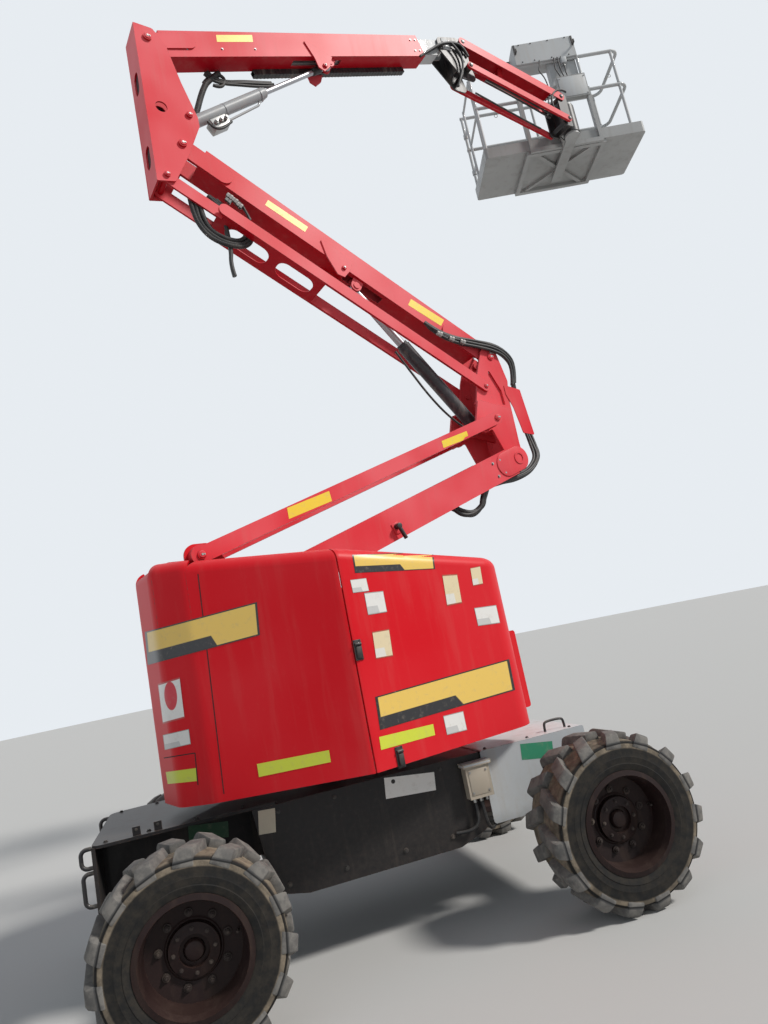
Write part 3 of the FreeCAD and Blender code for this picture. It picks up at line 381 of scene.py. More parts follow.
# Floor pan and mount grey, darker than the rails: partly their own dusty grey, partly painted shade of the platform's
# underside
PAN_GREY_AND_SHADE = painted("pan_grey_and_shade", (0.30, 0.305, 0.30), (0.50, 0.51, 0.51), dust=(0.20, 0.19, 0.17), grime=0.3,
                   chips=(0.16, 0.12, 0.09), specular=0.25)
BLACK_PAINT = painted("black_paint", (0.014, 0.014, 0.016), (0.035, 0.033, 0.033), grime=0.25, roughness=0.42)
# Rim colour, near black: partly the rims' dark paint, partly painted shade of the rims set deep inside the tyres
RIM_PAINT_AND_SHADE = painted("rim_paint_and_shade", (0.010, 0.004, 0.004), (0.022, 0.009, 0.008), dust=(0.065, 0.042, 0.033), grime=0.28,
                    roughness=0.65, chips=(0.06, 0.028, 0.018), low_dust=0.06, specular=0.2)
BARREL_GREY = painted("barrel_grey_paint", (0.30, 0.31, 0.32), (0.42, 0.43, 0.44), grime=0.25)
BARREL_DARK = painted("barrel_dark_paint", (0.028, 0.026, 0.032), (0.06, 0.055, 0.06), grime=0.25)
CONSOLE_GREY = painted("console_grey", (0.44, 0.46, 0.47), (0.58, 0.6, 0.6), grime=0.25, roughness=0.55, wear=0.4)
TAN_CASE = painted("tan_case_paint", (0.38, 0.33, 0.26), (0.5, 0.44, 0.36), grime=0.3)
CHROME = steel("chrome_rod", (0.42, 0.42, 0.44), 0.32, 0.15)
ZINC = steel("zinc_fitting", (0.42, 0.415, 0.40), 0.42, 0.3)
RIM_BOLT = steel("rim_bolt", (0.03, 0.02, 0.017), 0.6, 0.6, 0.2)
DARK_BOLT = steel("dark_bolt", (0.045, 0.042, 0.04), 0.5, 0.5, 0.5)
BOLT_STEEL = steel("bolt_steel", (0.30, 0.29, 0.29), 0.42, 0.5)
HOSE = rubber("hose_rubber", (0.012, 0.012, 0.013), (0.10, 0.09, 0.08))
RIBBED = rubber("ribbed_hose", (0.014, 0.014, 0.015), (0.11, 0.10, 0.09), ribs=0.012)
LATCH_RUBBER = rubber("latch_rubber", (0.012, 0.012, 0.012), (0.08, 0.07, 0.06))
CARCASS = tread("tyre_carcass", (0.013, 0.013, 0.013), (0.26, 0.215, 0.16), 0.09)
LUGS = tread("tyre_lugs", (0.055, 0.056, 0.058), (0.20, 0.19, 0.175), 0.20)
YELLOW = film("yellow_strip", (0.85, 0.62, 0.035))
LIME = film("lime_strip", (0.62, 0.68, 0.05))
WHITE_FILM = film("white_film", (0.78, 0.77, 0.74))
GREEN_FILM = film("green_film", (0.05, 0.28, 0.16))
DARK_FILM = film("dark_film", (0.035, 0.09, 0.05))
BEIGE_FILM = film("beige_film", (0.52, 0.47, 0.36))
RED_FILM = film("red_film", (0.55, 0.03, 0.03))
# Near-black film used as painted shadow: in the gaps of the tail's seam and hatch, and inside the upright's holes
PAINTED_SHADOW = film("seam_shadow", (0.03, 0.004, 0.006), 0.1, 0.8)
YELLOW_PANEL = panel_film("yellow_panel", (0.80, 0.54, 0.12), (0.025, 0.025, 0.028), (0.02, 0.02, 0.02))
PALE_PANEL = panel_film("pale_panel", (0.76, 0.75, 0.72), (0.55, 0.55, 0.54), (0.35, 0.33, 0.32))
DISC_PANEL = panel_film("disc_panel", (0.80, 0.79, 0.76), None, (0.5, 0.05, 0.05), (0.62, 0.03, 0.05))
CREAM_PANEL = panel_film("cream_panel", (0.74, 0.62, 0.40), (0.72, 0.70, 0.64), (0.4, 0.1, 0.06))


# Modelling

def facing(place, way, up=UP):
    """Frame at a place with Z along way and Y as near to up as it can be."""
    z = Vector(way).normalized()
    if abs(z.dot(up)) > 0.99:
        up = Vector((1, 0, 0))
    x = up.cross(z).normalized()
    return Matrix.Translation(place) @ Matrix((x, z.cross(x), z)).transposed().to_4x4()


class Shape:
    """A mesh that grows from operator-made parts and ends as one piece of the machine."""

    def __init__(self):
        self.mesh = bmesh.new()

    def keep(self, verts, look, bevel=0.0, segments=2):
        faces = {face for vert in verts for face in vert.link_faces}
        for face in faces:
            face.material_index = look
        if bevel:
            edges = {edge for face in faces for edge in face.edges if edge.calc_face_angle(0) > 0.6}
            bmesh.ops.bevel(self.mesh, geom=list(edges), offset=bevel, segments=segments, profile=0.5,
                            affect="EDGES", material=-1, clamp_overlap=True)
        return self

    def block(self, low, high, bevel=0.003, look=0, at=Matrix(), segments=2):
        low, high = Vector(low), Vector(high)
        size = Matrix.Diagonal((*(high - low), 1))
        made = bmesh.ops.create_cube(self.mesh, size=1, matrix=at @ Matrix.Translation((low + high) / 2) @ size)
        return self.keep(made["verts"], look, bevel, segments)

    def rod(self, start, end, radius, look=0, bevel=0.0, sides=24, end_radius=None):
        start, end = Vector(start), Vector(end)
        at = facing((start + end) / 2, end - start)
        made = bmesh.ops.create_cone(self.mesh, cap_ends=True, segments=sides, radius1=radius,
                                     radius2=radius if end_radius is None else end_radius,
                                     depth=(end - start).length, matrix=at)
        return self.keep(made["verts"], look, bevel)

    def lathe(self, rows, at=Matrix(), look=0, steps=40, closed=False):
        """Spin of (radius, height) rows about the Z axis of at."""
        verts = [self.mesh.verts.new((radius, 0, height)) for radius, height in rows]
        pairs = zip(verts, verts[1:] + verts[:1]) if closed else zip(verts, verts[1:])
        edges = [self.mesh.edges.new(pair) for pair in pairs]
        before = set(self.mesh.verts) - set(verts)
        bmesh.ops.spin(self.mesh, geom=verts + edges, cent=(0, 0, 0), axis=(0, 0, 1), angle=2 * math.pi,
                       steps=steps, use_merge=True)
        made = [vert for vert in self.mesh.verts if vert not in before]
        bmesh.ops.remove_doubles(self.mesh, verts=made, dist=0.00002)
        made = [vert for vert in self.mesh.verts if vert not in before]
        bmesh.ops.transform(self.mesh, matrix=at, verts=made)
        return self.keep(made, look)

    def bolt(self, at, radius=0.009, look=0):
        """Hexagon head on its washer."""
        made = bmesh.ops.create_cone(self.mesh, cap_ends=True, segments=20, radius1=radius * 1.35,
                                     radius2=radius * 1.35, depth=radius * 0.25,
                                     matrix=at @ Matrix.Translation((0, 0, radius * 0.12)))
        self.keep(made["verts"], look)
        made = bmesh.ops.create_cone(self.mesh, cap_ends=True, segments=6, radius1=radius, radius2=radius * 0.96,
                                     depth=radius * 0.75, matrix=at @ Matrix.Translation((0, 0, radius * 0.6)))
        return self.keep(made["verts"], look, radius * 0.08, 1)

    def prism(self, outline, low, high, at=Matrix(), look=0, bevel=0.0, segments=2):
        """Plate with an (x, y) outline, extruded along Z from low to high."""
        verts = [self.mesh.verts.new((x, y, low)) for x, y in outline]
        face = self.mesh.faces.new(verts)
        made = bmesh.ops.extrude_face_region(self.mesh, geom=[face])
        top = [item for item in made["geom"] if isinstance(item, bmesh.types.BMVert)]
        bmesh.ops.translate(self.mesh, verts=top, vec=(0, 0, high - low))
        bmesh.ops.recalc_face_normals(self.mesh, faces=list({f for v in verts + top for f in v.link_faces}))
        bmesh.ops.transform(self.mesh, matrix=at, verts=verts + top)
        return self.keep(verts + top, look, bevel, segments)

    def finish(self, name, body, looks, place=TURRET, slot=None, sharp=SHARP):
        bmesh.ops.transform(self.mesh, matrix=place, verts=self.mesh.verts)
        bmesh.ops.recalc_face_normals(self.mesh, faces=self.mesh.faces)
        return as_piece(self.mesh, name, body, looks, sharp)


def as_piece(mesh, name, body, looks, sharp=SHARP):
    for face in mesh.faces:
        face.smooth = True
    data = bpy.data.meshes.new(name)
    mesh.to_mesh(data)
    mesh.free()
    data.set_sharp_from_angle(angle=math.radians(sharp))
    for look in looks:
        data.materials.append(look)
    piece = bpy.data.objects.new(name, data)
    bpy.context.scene.collection.objects.link(piece)
    if body:
        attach(piece, body)
    return piece


def laid_on(name, node, corners, looks, body, across=10, up=4, lift=0.0009):
    """Film on a node's face between four pixels: upper left, upper right, lower right, lower left."""
    mesh = bmesh.new()
    bmesh.ops.create_grid(mesh, x_segments=across, y_segments=up, size=0.5)
    layer = mesh.loops.layers.uv.new("panel")
    for face in mesh.faces:
        for loop in face.loops:
            loop[layer].uv = (loop.vert.co.x + 0.5, loop.vert.co.y + 0.5)
    a, b, c, d = [Vector(corner) for corner in corners]
    lost = []
    for vert in mesh.verts:
        u, v = vert.co.x + 0.5, vert.co.y + 0.5
        pixel = a.lerp(b, u).lerp(d.lerp(c, u), 1 - v)
        place, normal = seen(node, *pixel)
        if place is None:
            lost.append(vert)
        else:
            vert.co = place + normal * lift
    bmesh.ops.delete(mesh, geom=lost, context="VERTS")
    mesh.normal_update()
    turned = [face for face in mesh.faces if face.normal.dot(eye_point - face.calc_center_median()) < 0]
    bmesh.ops.reverse_faces(mesh, faces=turned)
    return as_piece(mesh, name, body, looks, sharp=60)


def hose(name, points, radius, look, body, other=None, place=TURRET):
    """Round hose on a smooth curve, attached to its body; with a second body it is attached to neither and stays where
    it is made.
    """
    curve = bpy.data.curves.new(name + "_line", "CURVE")
    curve.dimensions = "3D"
    spline = curve.splines.new("NURBS")
    spline.points.add(len(points) - 1)
    for point, spot in zip(spline.points, points):
        point.co = (*(place @ Vector(spot)), 1)
    spline.order_u = 3
    spline.use_endpoint_u = True
    spline.resolution_u = 6
    holder = bpy.data.objects.new(name + "_line", curve)
    bpy.context.scene.collection.objects.link(holder)
    line = bpy.data.meshes.new_from_object(holder.evaluated_get(bpy.context.evaluated_depsgraph_get()))
    path = [vert.co.copy() for vert in line.vertices]
    curve.bevel_depth = radius
    curve.bevel_resolution = 3
    curve.use_fill_caps = True
    bpy.context.view_layer.update()
    data = bpy.data.meshes.new_from_object(holder.evaluated_get(bpy.context.evaluated_depsgraph_get()))
    bpy.data.objects.remove(holder)
    bpy.data.meshes.remove(line)
    lengths = [0.0]
    for here, there in zip(path, path[1:]):
        lengths.append(lengths[-1] + (there - here).length)
    run = data.attributes.new("run", "FLOAT", "POINT")
    for i, vert in enumerate(data.vertices):
        nearest = min(range(len(path)), key=lambda k: (path[k] - vert.co).length_squared)
        run.data[i].value = lengths[nearest]
    for face in data.polygons:
        face.use_smooth = True
    data.name = name
    data.materials.clear()
    data.materials.append(look)
    piece = bpy.data.objects.new(name, data)
    bpy.context.scene.collection.objects.link(piece)
    if other:
        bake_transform(piece)
    else:
        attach(piece, body)
    return piece


# Wheels

def tyre(wheel):
    """Wide lugged tyre: turned carcass, then two staggered rows of sloped shoulder lugs."""
    half = [(0.262, 0.128), (0.2575, 0.1545), (0.266, 0.1650), (0.288, 0.1730), (0.300, 0.1762), (0.304, 0.1735),
            (0.316, 0.1745), (0.334, 0.1770), (0.340, 0.1745), (0.360, 0.1750), (0.382, 0.1725), (0.399, 0.1690),
            (0.402, 0.1655), (0.407, 0.1650), (0.411, 0.1625), (0.4185, 0.1430), (0.4205, 0.0900)]
    lugs_a_side = 15
    shape = Shape()
    rows = half + [(radius, -height) for radius, height in reversed(half)]
    shape.lathe(rows, steps=90, closed=True)
    lug = [(0.004, 0.414), (0.004, 0.4592), (0.148, 0.4592), (0.1645, 0.4480), (0.1745, 0.4180), (0.1765, 0.3900),
           (0.1725, 0.3760), (0.150, 0.3760)]
    step = 2 * math.pi / lugs_a_side
    for side in SIDES:
        single = Shape()
        single.prism(lug, -0.046, 0.046)
        for vert in single.mesh.verts:
            narrow = 1.06 - 3.1 * (vert.co.y - 0.376)
            vert.co.z = vert.co.z * narrow + (0.085 - vert.co.x) * 0.42
        bmesh.ops.bevel(single.mesh, geom=single.mesh.edges[:], offset=0.0065, segments=2, profile=0.5,
                        affect="EDGES", material=-1, clamp_overlap=True)
        bmesh.ops.recalc_face_normals(single.mesh, faces=single.mesh.faces)
        data = bpy.data.meshes.new("lug")
        single.mesh.to_mesh(data)
        single.mesh.free()
        for i in range(lugs_a_side):
            angle = step * (i + (0.5 if side > 0 else 0.0))
            before = set(shape.mesh.verts)
            shape.mesh.from_mesh(data)
            fresh = [vert for vert in shape.mesh.verts if vert not in before]
            # The lug's outline lies in width and radius: turn those to the wheel's axis and radius
            lay = Matrix(((0, 1, 0, 0), (0, 0, 1, 0), (side, 0, 0, 0), (0, 0, 0, 1)))
            bmesh.ops.transform(shape.mesh, matrix=Matrix.Rotation(angle, 4, "Z") @ lay, verts=fresh)
            shape.keep(fresh, 1)
        bpy.data.meshes.remove(data)
    layer = shape.mesh.verts.layers.float.new("reach")
    for vert in shape.mesh.verts:
        vert[layer] = math.hypot(vert.co.x, vert.co.y)
    hub = hub_of[wheel]
    place = facing(hub, (0, 1, 0))
    piece = shape.finish("tyre_lugged_" + wheel, "wheel_" + wheel, [CARCASS, LUGS], place, "tyre")
    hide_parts("tyre_" + wheel)


def hub_fittings(wheel):
    """Wheel nuts, hub ring bolts and the valve stem."""
    hub = hub_of[wheel]
    side = 1 if hub.y > centre.y else -1
    shape = Shape()
    for x, y in ring(9, 0.158, 0.2):
        shape.rod((x, y, 0.0295), (x, y, 0.036), 0.019, bevel=0.001)
        shape.bolt(Matrix.Translation((x, y, 0.036)), 0.0135)
        shape.rod((x, y, 0.045), (x, y, 0.058), 0.0065, sides=16, bevel=0.001)
    for x, y in ring(8, 0.093):
        shape.bolt(Matrix.Translation((x, y, 0.0575)), 0.0075)
    shape.lathe([(0.0, 0.068), (0.030, 0.067), (0.040, 0.062), (0.044, 0.055), (0.047, 0.0405)], look=1)
    shape.lathe([(0.117, 0.022), (0.123, 0.030), (0.128, 0.030), (0.134, 0.0262)], look=1, steps=60)
    shape.rod((0.205, 0.03, 0.045), (0.198, 0.03, 0.085), 0.006, sides=16, bevel=0.001)
    place = facing(hub, (0, side, 0))
    shape.finish("hub_fittings_" + wheel, "wheel_" + wheel, [RIM_BOLT, RIM_PAINT_AND_SHADE], place, "rim")


# Turret cover

def cover_corners():
    """Rear corner walls of the cover beside the boom slot, rounded over at the top like the rest of it."""
    first_ray, ray_step, ray_count = 218.3, 0.95, 48
    foot, roof_at_pin, roof_slope, rounding, wall = 1.9003, 2.105, 0.158, 0.072, 0.0135
    inward = TURRET.inverted()
    corners = []
    for side in SIDES:
        line = []
        for i in range(ray_count):
            angle = math.radians(first_ray - i * ray_step)
            way = Vector((math.cos(angle), -side * math.sin(angle), 0))
            place, normal, face, distance = tree_of("tail_hood").ray_cast(
                TURRET @ (Vector((-0.75, side * 0.130, 1.70)) + way * 1.5), TURRET.to_3x3() @ -way)
            place, normal = inward @ place, inward.to_3x3() @ normal
            # The ends of the wall lie just inside the solid walls that they meet
            inside = 0.0006 if abs(place.y) > 0.366 or place.x < -1.2092 else 0.0
            if place.x > -1.2195 and abs(place.y) < 0.375:
                normal = Vector((normal.x, normal.y, 0)).normalized()
                line.append((place - normal * inside, normal))
        mesh = bmesh.new()
        rows = []
        for place, normal in line:
            top = roof_at_pin - roof_slope * place.x - rounding
            steps = [(0, foot), (0, 2.0), (0, 2.1), (0, top)]
            steps += [(rounding * (1 - math.cos(a)), top + rounding * math.sin(a))
                      for a in (math.radians(11 * k) for k in range(1, 8))]
            rows.append([mesh.verts.new((place.x - normal.x * inset, place.y - normal.y * inset, z))
                         for inset, z in steps])
        for here, there in zip(rows, rows[1:]):
            for k in range(len(here) - 1):
                mesh.faces.new((here[k], there[k], there[k + 1], here[k + 1]))
        bmesh.ops.recalc_face_normals(mesh, faces=mesh.faces)
        if mesh.faces[:][0].normal.dot(line[0][1]) < 0:
            bmesh.ops.reverse_faces(mesh, faces=mesh.faces)
        bmesh.ops.solidify(mesh, geom=mesh.faces[:], thickness=wall)
        bmesh.ops.transform(mesh, matrix=TURRET, verts=mesh.verts)
        corners.append(as_piece(mesh, "cover_corner_" + side_name(side), "turret", [RED]))
    tree_of("tail_hood", corners)


def cover_films():
    """Blank films and strips on the cover, each between four pixels of the photograph."""
    tail, near = "tail_hood", "hood_near"
    # name, node, upper left, upper right, lower right, lower left, look
    rows = [
        ("rear_panel", tail, (145, 632), (257, 602), (260, 635), (148, 665), YELLOW_PANEL),
        ("rear_disc_panel", tail, (158, 684), (180, 677), (185, 718), (163, 724), DISC_PANEL),
        ("rear_white_panel", tail, (163, 735), (189, 729), (191, 744), (165, 750), PALE_PANEL),
        ("rear_corner_strip", tail, (166, 772), (196, 768), (197, 781), (168, 784), LIME),
        ("rear_low_strip", tail, (257, 764), (329, 750), (331, 762), (259, 777), LIME),
        ("near_low_strip", near, (379, 737), (433, 724), (435, 735), (381, 750), LIME),
        ("near_top_panel", near, (352, 555), (433, 552), (435, 569), (355, 573), YELLOW_PANEL),
        ("near_large_panel", near, (375, 697), (509, 659), (515, 690), (380, 730), YELLOW_PANEL),
        ("near_white_a", near, (350, 580), (366, 578), (369, 591), (353, 593), PALE_PANEL),
        ("near_white_b", near, (364, 593), (383, 591), (387, 612), (368, 615), PALE_PANEL),
        ("near_cream_c", near, (372, 632), (389, 629), (393, 656), (376, 659), CREAM_PANEL),
        ("near_cream_d", near, (442, 575), (457, 574), (462, 603), (447, 606), CREAM_PANEL),
        ("near_white_e", near, (474, 608), (496, 605), (500, 623), (478, 626), PALE_PANEL),
        ("near_white_f", near, (443, 716), (463, 711), (467, 730), (447, 735), PALE_PANEL),
        ("near_cream_g", near, (470, 568), (480, 566), (483, 584), (473, 586), CREAM_PANEL),
    ]
    for name, node, a, b, c, d, look in rows:
        laid_on(name, node, (a, b, c, d), [look], node if node == "hood_near" else "turret",
                max(6, round(abs(b[0] - a[0]) / 2.5)), max(5, round(abs(d[1] - a[1]) / 3)), FILM_LIFT)
    # Painted shadow: thin near-black films along the rear seam and round the hatch
    rows = [("rear_seam_shadow", (198, 574), (224, 794)), ("rear_hatch_seam_shadow_a", (164, 758), (195, 753)),
            ("rear_hatch_seam_shadow_b", (195, 753), (198, 785))]
    for name, a, b in rows:
        side = Vector((b[1] - a[1], a[0] - b[0])).normalized() * 0.55
        a, b = Vector(a), Vector(b)
        laid_on(name, "tail_hood", (a - side, a + side, b + side, b - side), [PAINTED_SHADOW], "turret", 1, 24, SEAM_SHADOW_LIFT)


def cover_latches():
    """Rubber latches on the near door."""
    for name, px, py in (("near_latch_high", 358, 650), ("near_latch_low", 400, 757)):
        at = seat_at("hood_near", px, py)
        shape = Shape()
        shape.prism(rectangle(-0.024, -0.055, 0.024, 0.055), 0.0006, 0.006, look=0, bevel=0.003)
        shape.block((-0.016, -0.045, 0.006), (0.016, 0.018, 0.020), 0.005, 1)
        shape.rod((-0.019, 0.030, 0.012), (0.019, 0.030, 0.012), 0.009, 0, bevel=0.002)
        for x, y in ((-0.016, -0.050), (0.016, -0.050), (-0.016, 0.050), (0.016, 0.050)):
            shape.bolt(Matrix.Translation((x, y, 0.006)), 0.0035)
        shape.finish(name, "hood_near", [BLACK_PAINT, LATCH_RUBBER], at)


def post_bolts():
    """Door hinge bolts and the bolts of the side plates."""
    face = 0.3632
    shape = Shape()
    for side in SIDES:
        for x in (0.70, 0.90, 1.12):
            shape.bolt(facing((x, side * face, 1.02), (0, side, 0)), 0.011)
        for z in (1.10, 1.29):
            shape.bolt(facing((0.792, side * face, z), (0, side, 0)), 0.008)
    shape.finish("side_plate_bolts", "turret", [BOLT_STEEL])


def pin_ends():
    """Pin heads with keeper plates at the folding joints, on both sides."""
    lower, links = pivot("lower_lift"), pivot("lower_link_lift")
    knuckle, upper = pivot("knuckle_level"), pivot("upper_lift")
    rail, high = pivot("upper_link_lift"), pivot("upright_level")
    boom, luff = pivot("luff"), pivot("luff_cylinder_tilt")
    fly, jib, bar, head = (pivot(name) for name in ("jib_level", "jib_lift", "jib_bar_lift", "head_level"))
    tower = pivot("tower_cylinder_tilt")
    rail_high = high + (rail - upper)
    link_high = links + (knuckle - lower)
    # body, pivot, half width, radius
    rows = [("turret", lower, 0.284, 0.030), ("turret", links, 0.352, 0.024), ("lower_links", link_high, 0.352, 0.024),
            ("upper_arm", upper, 0.132, 0.028), ("upper_link", rail, 0.156, 0.020), ("upright", high, 0.131, 0.028),
            ("upright", rail_high, 0.131, 0.020), ("upright", boom, 0.131, 0.028), ("upright", luff, 0.131, 0.022),
            ("fly_boom", fly, 0.090, 0.024), ("jib_base", jib, 0.120, 0.020), ("jib_base", bar, 0.156, 0.020),
            ("rotator", head, 0.124, 0.020), ("rotator", bar + (head - jib), 0.156, 0.020),
            ("tower_knuckle", tower, 0.079, 0.022)]
    made = {}
    for body, place, half, radius in rows:
        shape = made.setdefault(body, Shape())
        for side in SIDES:
            at = facing((place.x, side * half, place.z), (0, side, 0))
            shape.lathe([(0, 0.005), (radius * 0.72, 0.005), (radius * 0.8, 0.003), (radius * 0.98, 0)], at, 0, 28)
            shape.rod(at @ Vector((0, 0, 0.004)), at @ Vector((0, 0, 0.008)), radius * 0.3, 1, sides=16)
            shape.bolt(at @ Matrix.Translation((radius * 0.5, 0, 0.004)), radius * 0.2, 1)
    for body, shape in made.items():
        shape.finish("pin_ends_" + body, body, [BOOM_RED if body not in ("jib_base", "rotator", "fly_boom")
                                                else BLACK_PAINT, BOLT_STEEL])


# Strips, hoses and fittings of the arms

def arm_strips():
    """Reflective strips on the arms, each between four pixels."""
    # name, node and body, upper left, upper right, lower right, lower left
    rows = [
        ("strip_lower_link", "lower_links", (287, 508), (329, 491), (332, 501), (289, 519)),
        ("strip_knuckle_link", "lower_links", (441.5, 441), (466.5, 431), (469, 438), (443.5, 448)),
        ("strip_upper_arm_high", "upper_arm", (268, 200), (308, 227), (305, 232), (265, 205)),
        ("strip_upper_arm_low", "upper_arm", (411, 299), (444, 320), (441, 326), (408, 305)),
        ("strip_boom", "main_boom", (216, 35), (252, 35), (253, 42), (217, 42)),
    ]
    for name, node, a, b, c, d in rows:
        laid_on(name, node, (a, b, c, d), [YELLOW], node, 8, 3)


def frame_along(start, end):
    """Frame at start with X towards end, in the upright plane of the arms."""
    way = (end - start).normalized()
    side = Vector((0, 1, 0))
    return Matrix.Translation(start) @ Matrix((way, side, way.cross(side))).transposed().to_4x4()


def hose_run(name, body, pixels, radius, spread, other=None, look=None, about=None):
    """Bundle of hoses through (px, py, y) points, spread apart in y, and outwards from about, a little uneven."""
    made = []
    for i, offset in enumerate(spread):
        points = []
        for px, py, y in pixels:
            spot = on_plane(px, py, y + (0 if about and i % 2 else offset))
            if about:
                way = spot - about
                spot += Vector((way.x, 0, way.z)).normalized() * radius * 1.7 * (i // 2 - 0.5)
            points.append(spot + Vector((rng.uniform(-1, 1), 0, rng.uniform(-1, 1))) * radius * 0.7)
        made.append(hose(name + "_" + str(i), points, radius, look or HOSE, body, other))
    return made


def hose_fittings(name, body, rise, spots):
    """Swivel nuts on hoses at (px, py, y) spots, along a line that falls by rise in ten pixels."""
    shape = Shape()
    for px, py, y in spots:
        place = on_plane(px, py, y)
        at = facing(place, on_plane(px + 10, py + rise, y) - place)
        shape.lathe([(0.006, -0.030), (0.017, -0.028), (0.019, -0.010), (0.016, -0.004), (0.021, 0.0),
                     (0.021, 0.016), (0.012, 0.020)], at, 0, 6)
    shape.finish(name, body, [ZINC])


def lug_plates(name, body, low, high, pixels, pin, radius):
    """Plate on both sides of an arm, with its outline and pin where the pixels are on the near side."""
    rows = [on_plane(px, py, -high) for px, py in pixels]
    centre_pin = on_plane(*pin, -high)
    for side in SIDES:
        shape = Shape()
        near, far = sorted((-side * low, -side * high))
        shape.prism([(row.x, row.z) for row in rows], near, far, ON_EDGE)
        at = facing((centre_pin.x, side * high, centre_pin.z), (0, side, 0))
        shape.lathe([(0, 0.016), (radius * 0.8, 0.016), (radius, 0.012), (radius, 0.0)], at, 0, 28)
        shape.bolt(at @ Matrix.Translation((0, 0, 0.016)), radius * 0.35, 1)
        shape.finish(name + "_" + side_name(side), body, [BOOM_RED, BOLT_STEEL])


def knuckle_hoses():
    """Hoses over and past the tower knuckle, the low loops, their fittings and clamps."""
    upper = pivot("upper_lift")
    lower = pivot("knuckle_level")
    hose_run("hose_over_knuckle", "upper_arm", [(427, 325, -0.11), (438, 334, -0.125), (455, 341, -0.14),
             (476, 345, -0.15), (495, 349, -0.15), (507, 357, -0.145), (513, 369, -0.14), (513, 384, -0.132)],
             0.013, (0.030, 0.0, 0.034, 0.0, 0.038, 0.0), "tower_knuckle",
             about=upper + Vector((-0.1, 0, -0.4)))
    hose_run("hose_past_head", "tower_knuckle", [(513, 381, -0.130), (514, 394, -0.09), (519, 412, -0.03),
             (526, 430, -0.03), (532, 444, -0.10), (536, 455, -0.14), (534, 464, -0.15), (526, 471, -0.16),
             (514, 476, -0.17), (503, 480, -0.18), (492, 485, -0.19), (480, 491, -0.20), (468, 499, -0.20)],
             0.013, (0.028, 0.0, 0.030, 0.0, 0.032, 0.0), "lower_arm",
             about=lower)
    loops = hose_run("hose_loop_low", "lower_arm", [(486, 488, -0.20), (484, 498, -0.19), (482, 508, -0.18),
             (472, 515, -0.17), (460, 512, -0.16), (452, 507, -0.15), (447, 503, -0.12)], 0.017,
             (0.036, 0.0, 0.036, 0.0), about=lower)
    for piece in loops:
        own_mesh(piece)
    hose_fittings("hose_fittings_arm", "upper_arm", 4, ((440, 334, -0.14), (452, 339, -0.15), (463, 342, -0.16)))
    hose_fittings("hose_fittings_low", "lower_arm", -6, ((470, 496, -0.20), (477, 492, -0.20)))
    shape = Shape()
    for dx, dz in ((0.02, 0.10), (0.075, 0.085)):
        shape.rod(upper + Vector((dx, -0.105, dz)), upper + Vector((dx, 0.105, dz)), 0.012, bevel=0.002)
    at = facing(upper + Vector((0.05, -0.126, 0.055)), (0, -1, 0))
    shape.prism(rectangle(-0.05, -0.028, 0.05, 0.028), 0, 0.008, at, 0, 0.002)
    for x in (-0.034, 0.034):
        shape.bolt(at @ Matrix.Translation((x, 0, 0.008)), 0.009)
    shape.finish("hose_clamps_knuckle", "tower_knuckle", [ZINC])


def knuckle_plates():
    """Inner plates behind the windows of the knuckle's head."""
    rail = pivot("upper_link_lift")
    outline = [(0.070, 0.186), (0.198, -0.020), (0.206, -0.174), (0.040, -0.150), (0.046, 0.030)]
    for side in SIDES:
        shape = Shape()
        at = Matrix.Translation(rail) @ ON_EDGE
        low, high = sorted((-side * 0.1058, -side * 0.1030))
        shape.prism(outline, low, high, at)
        shape.finish("knuckle_plate_" + side_name(side), "tower_knuckle", [BOOM_RED])


def lower_arm_fittings():
    """Bracket and fitting on the near beam of the lower arm, its bolts and the plates at its knuckle end."""
    low, high = pivot("lower_lift"), pivot("knuckle_level")
    beam_face, plate_face = 0.2582, 0.2662
    at = frame_along(low, high)
    spot = at.inverted() @ on_plane(396, 527, -0.262)
    shape = Shape()
    shape.block((spot.x - 0.03, -0.2665, spot.z - 0.05), (spot.x + 0.03, -beam_face, spot.z + 0.03), 0.003, 0, at)
    shape.rod(at @ Vector((spot.x, -0.266, spot.z)), at @ Vector((spot.x, -0.315, spot.z)), 0.020, 1, 0.004)
    shape.rod(at @ Vector((spot.x, -0.300, spot.z)), at @ Vector((spot.x + 0.01, -0.300, spot.z - 0.10)), 0.014, 1,
              0.003)
    reach = (high - low).length
    for s in (reach - 0.28, reach - 0.20, 0.20, 0.28):
        for z in (-0.055, 0.055):
            for side in SIDES:
                shape.bolt(facing(at @ Vector((s, side * beam_face, z)), (0, side, 0)), 0.009, 2)
    shape.finish("lower_arm_fittings", "lower_arm", [BOOM_RED, BLACK_PAINT, BOLT_STEEL])
    for side in SIDES:
        shape = Shape()
        plate = Matrix.Translation(high) @ ON_EDGE
        turn = Matrix.Rotation(math.atan2(high.z - low.z, high.x - low.x), 4, "Z")
        arc = [(0.098 * math.cos(math.radians(a)), 0.098 * math.sin(math.radians(a))) for a in range(-90, 91, 12)]
        outline = arc + [(-0.15 - x, -y) for x, y in arc]
        near, far = sorted((-side * beam_face, -side * plate_face))
        shape.prism(outline, near, far, plate @ turn, 0, 0.002)
        shape.lathe([(0.036, 0.0), (0.052, 0.0), (0.050, 0.006), (0.036, 0.006)],
                    facing(high + Vector((0, side * plate_face, 0)), (0, side, 0)), closed=True)
        shape.finish("lower_arm_end_plate_" + side_name(side), "lower_arm", [BOOM_RED])


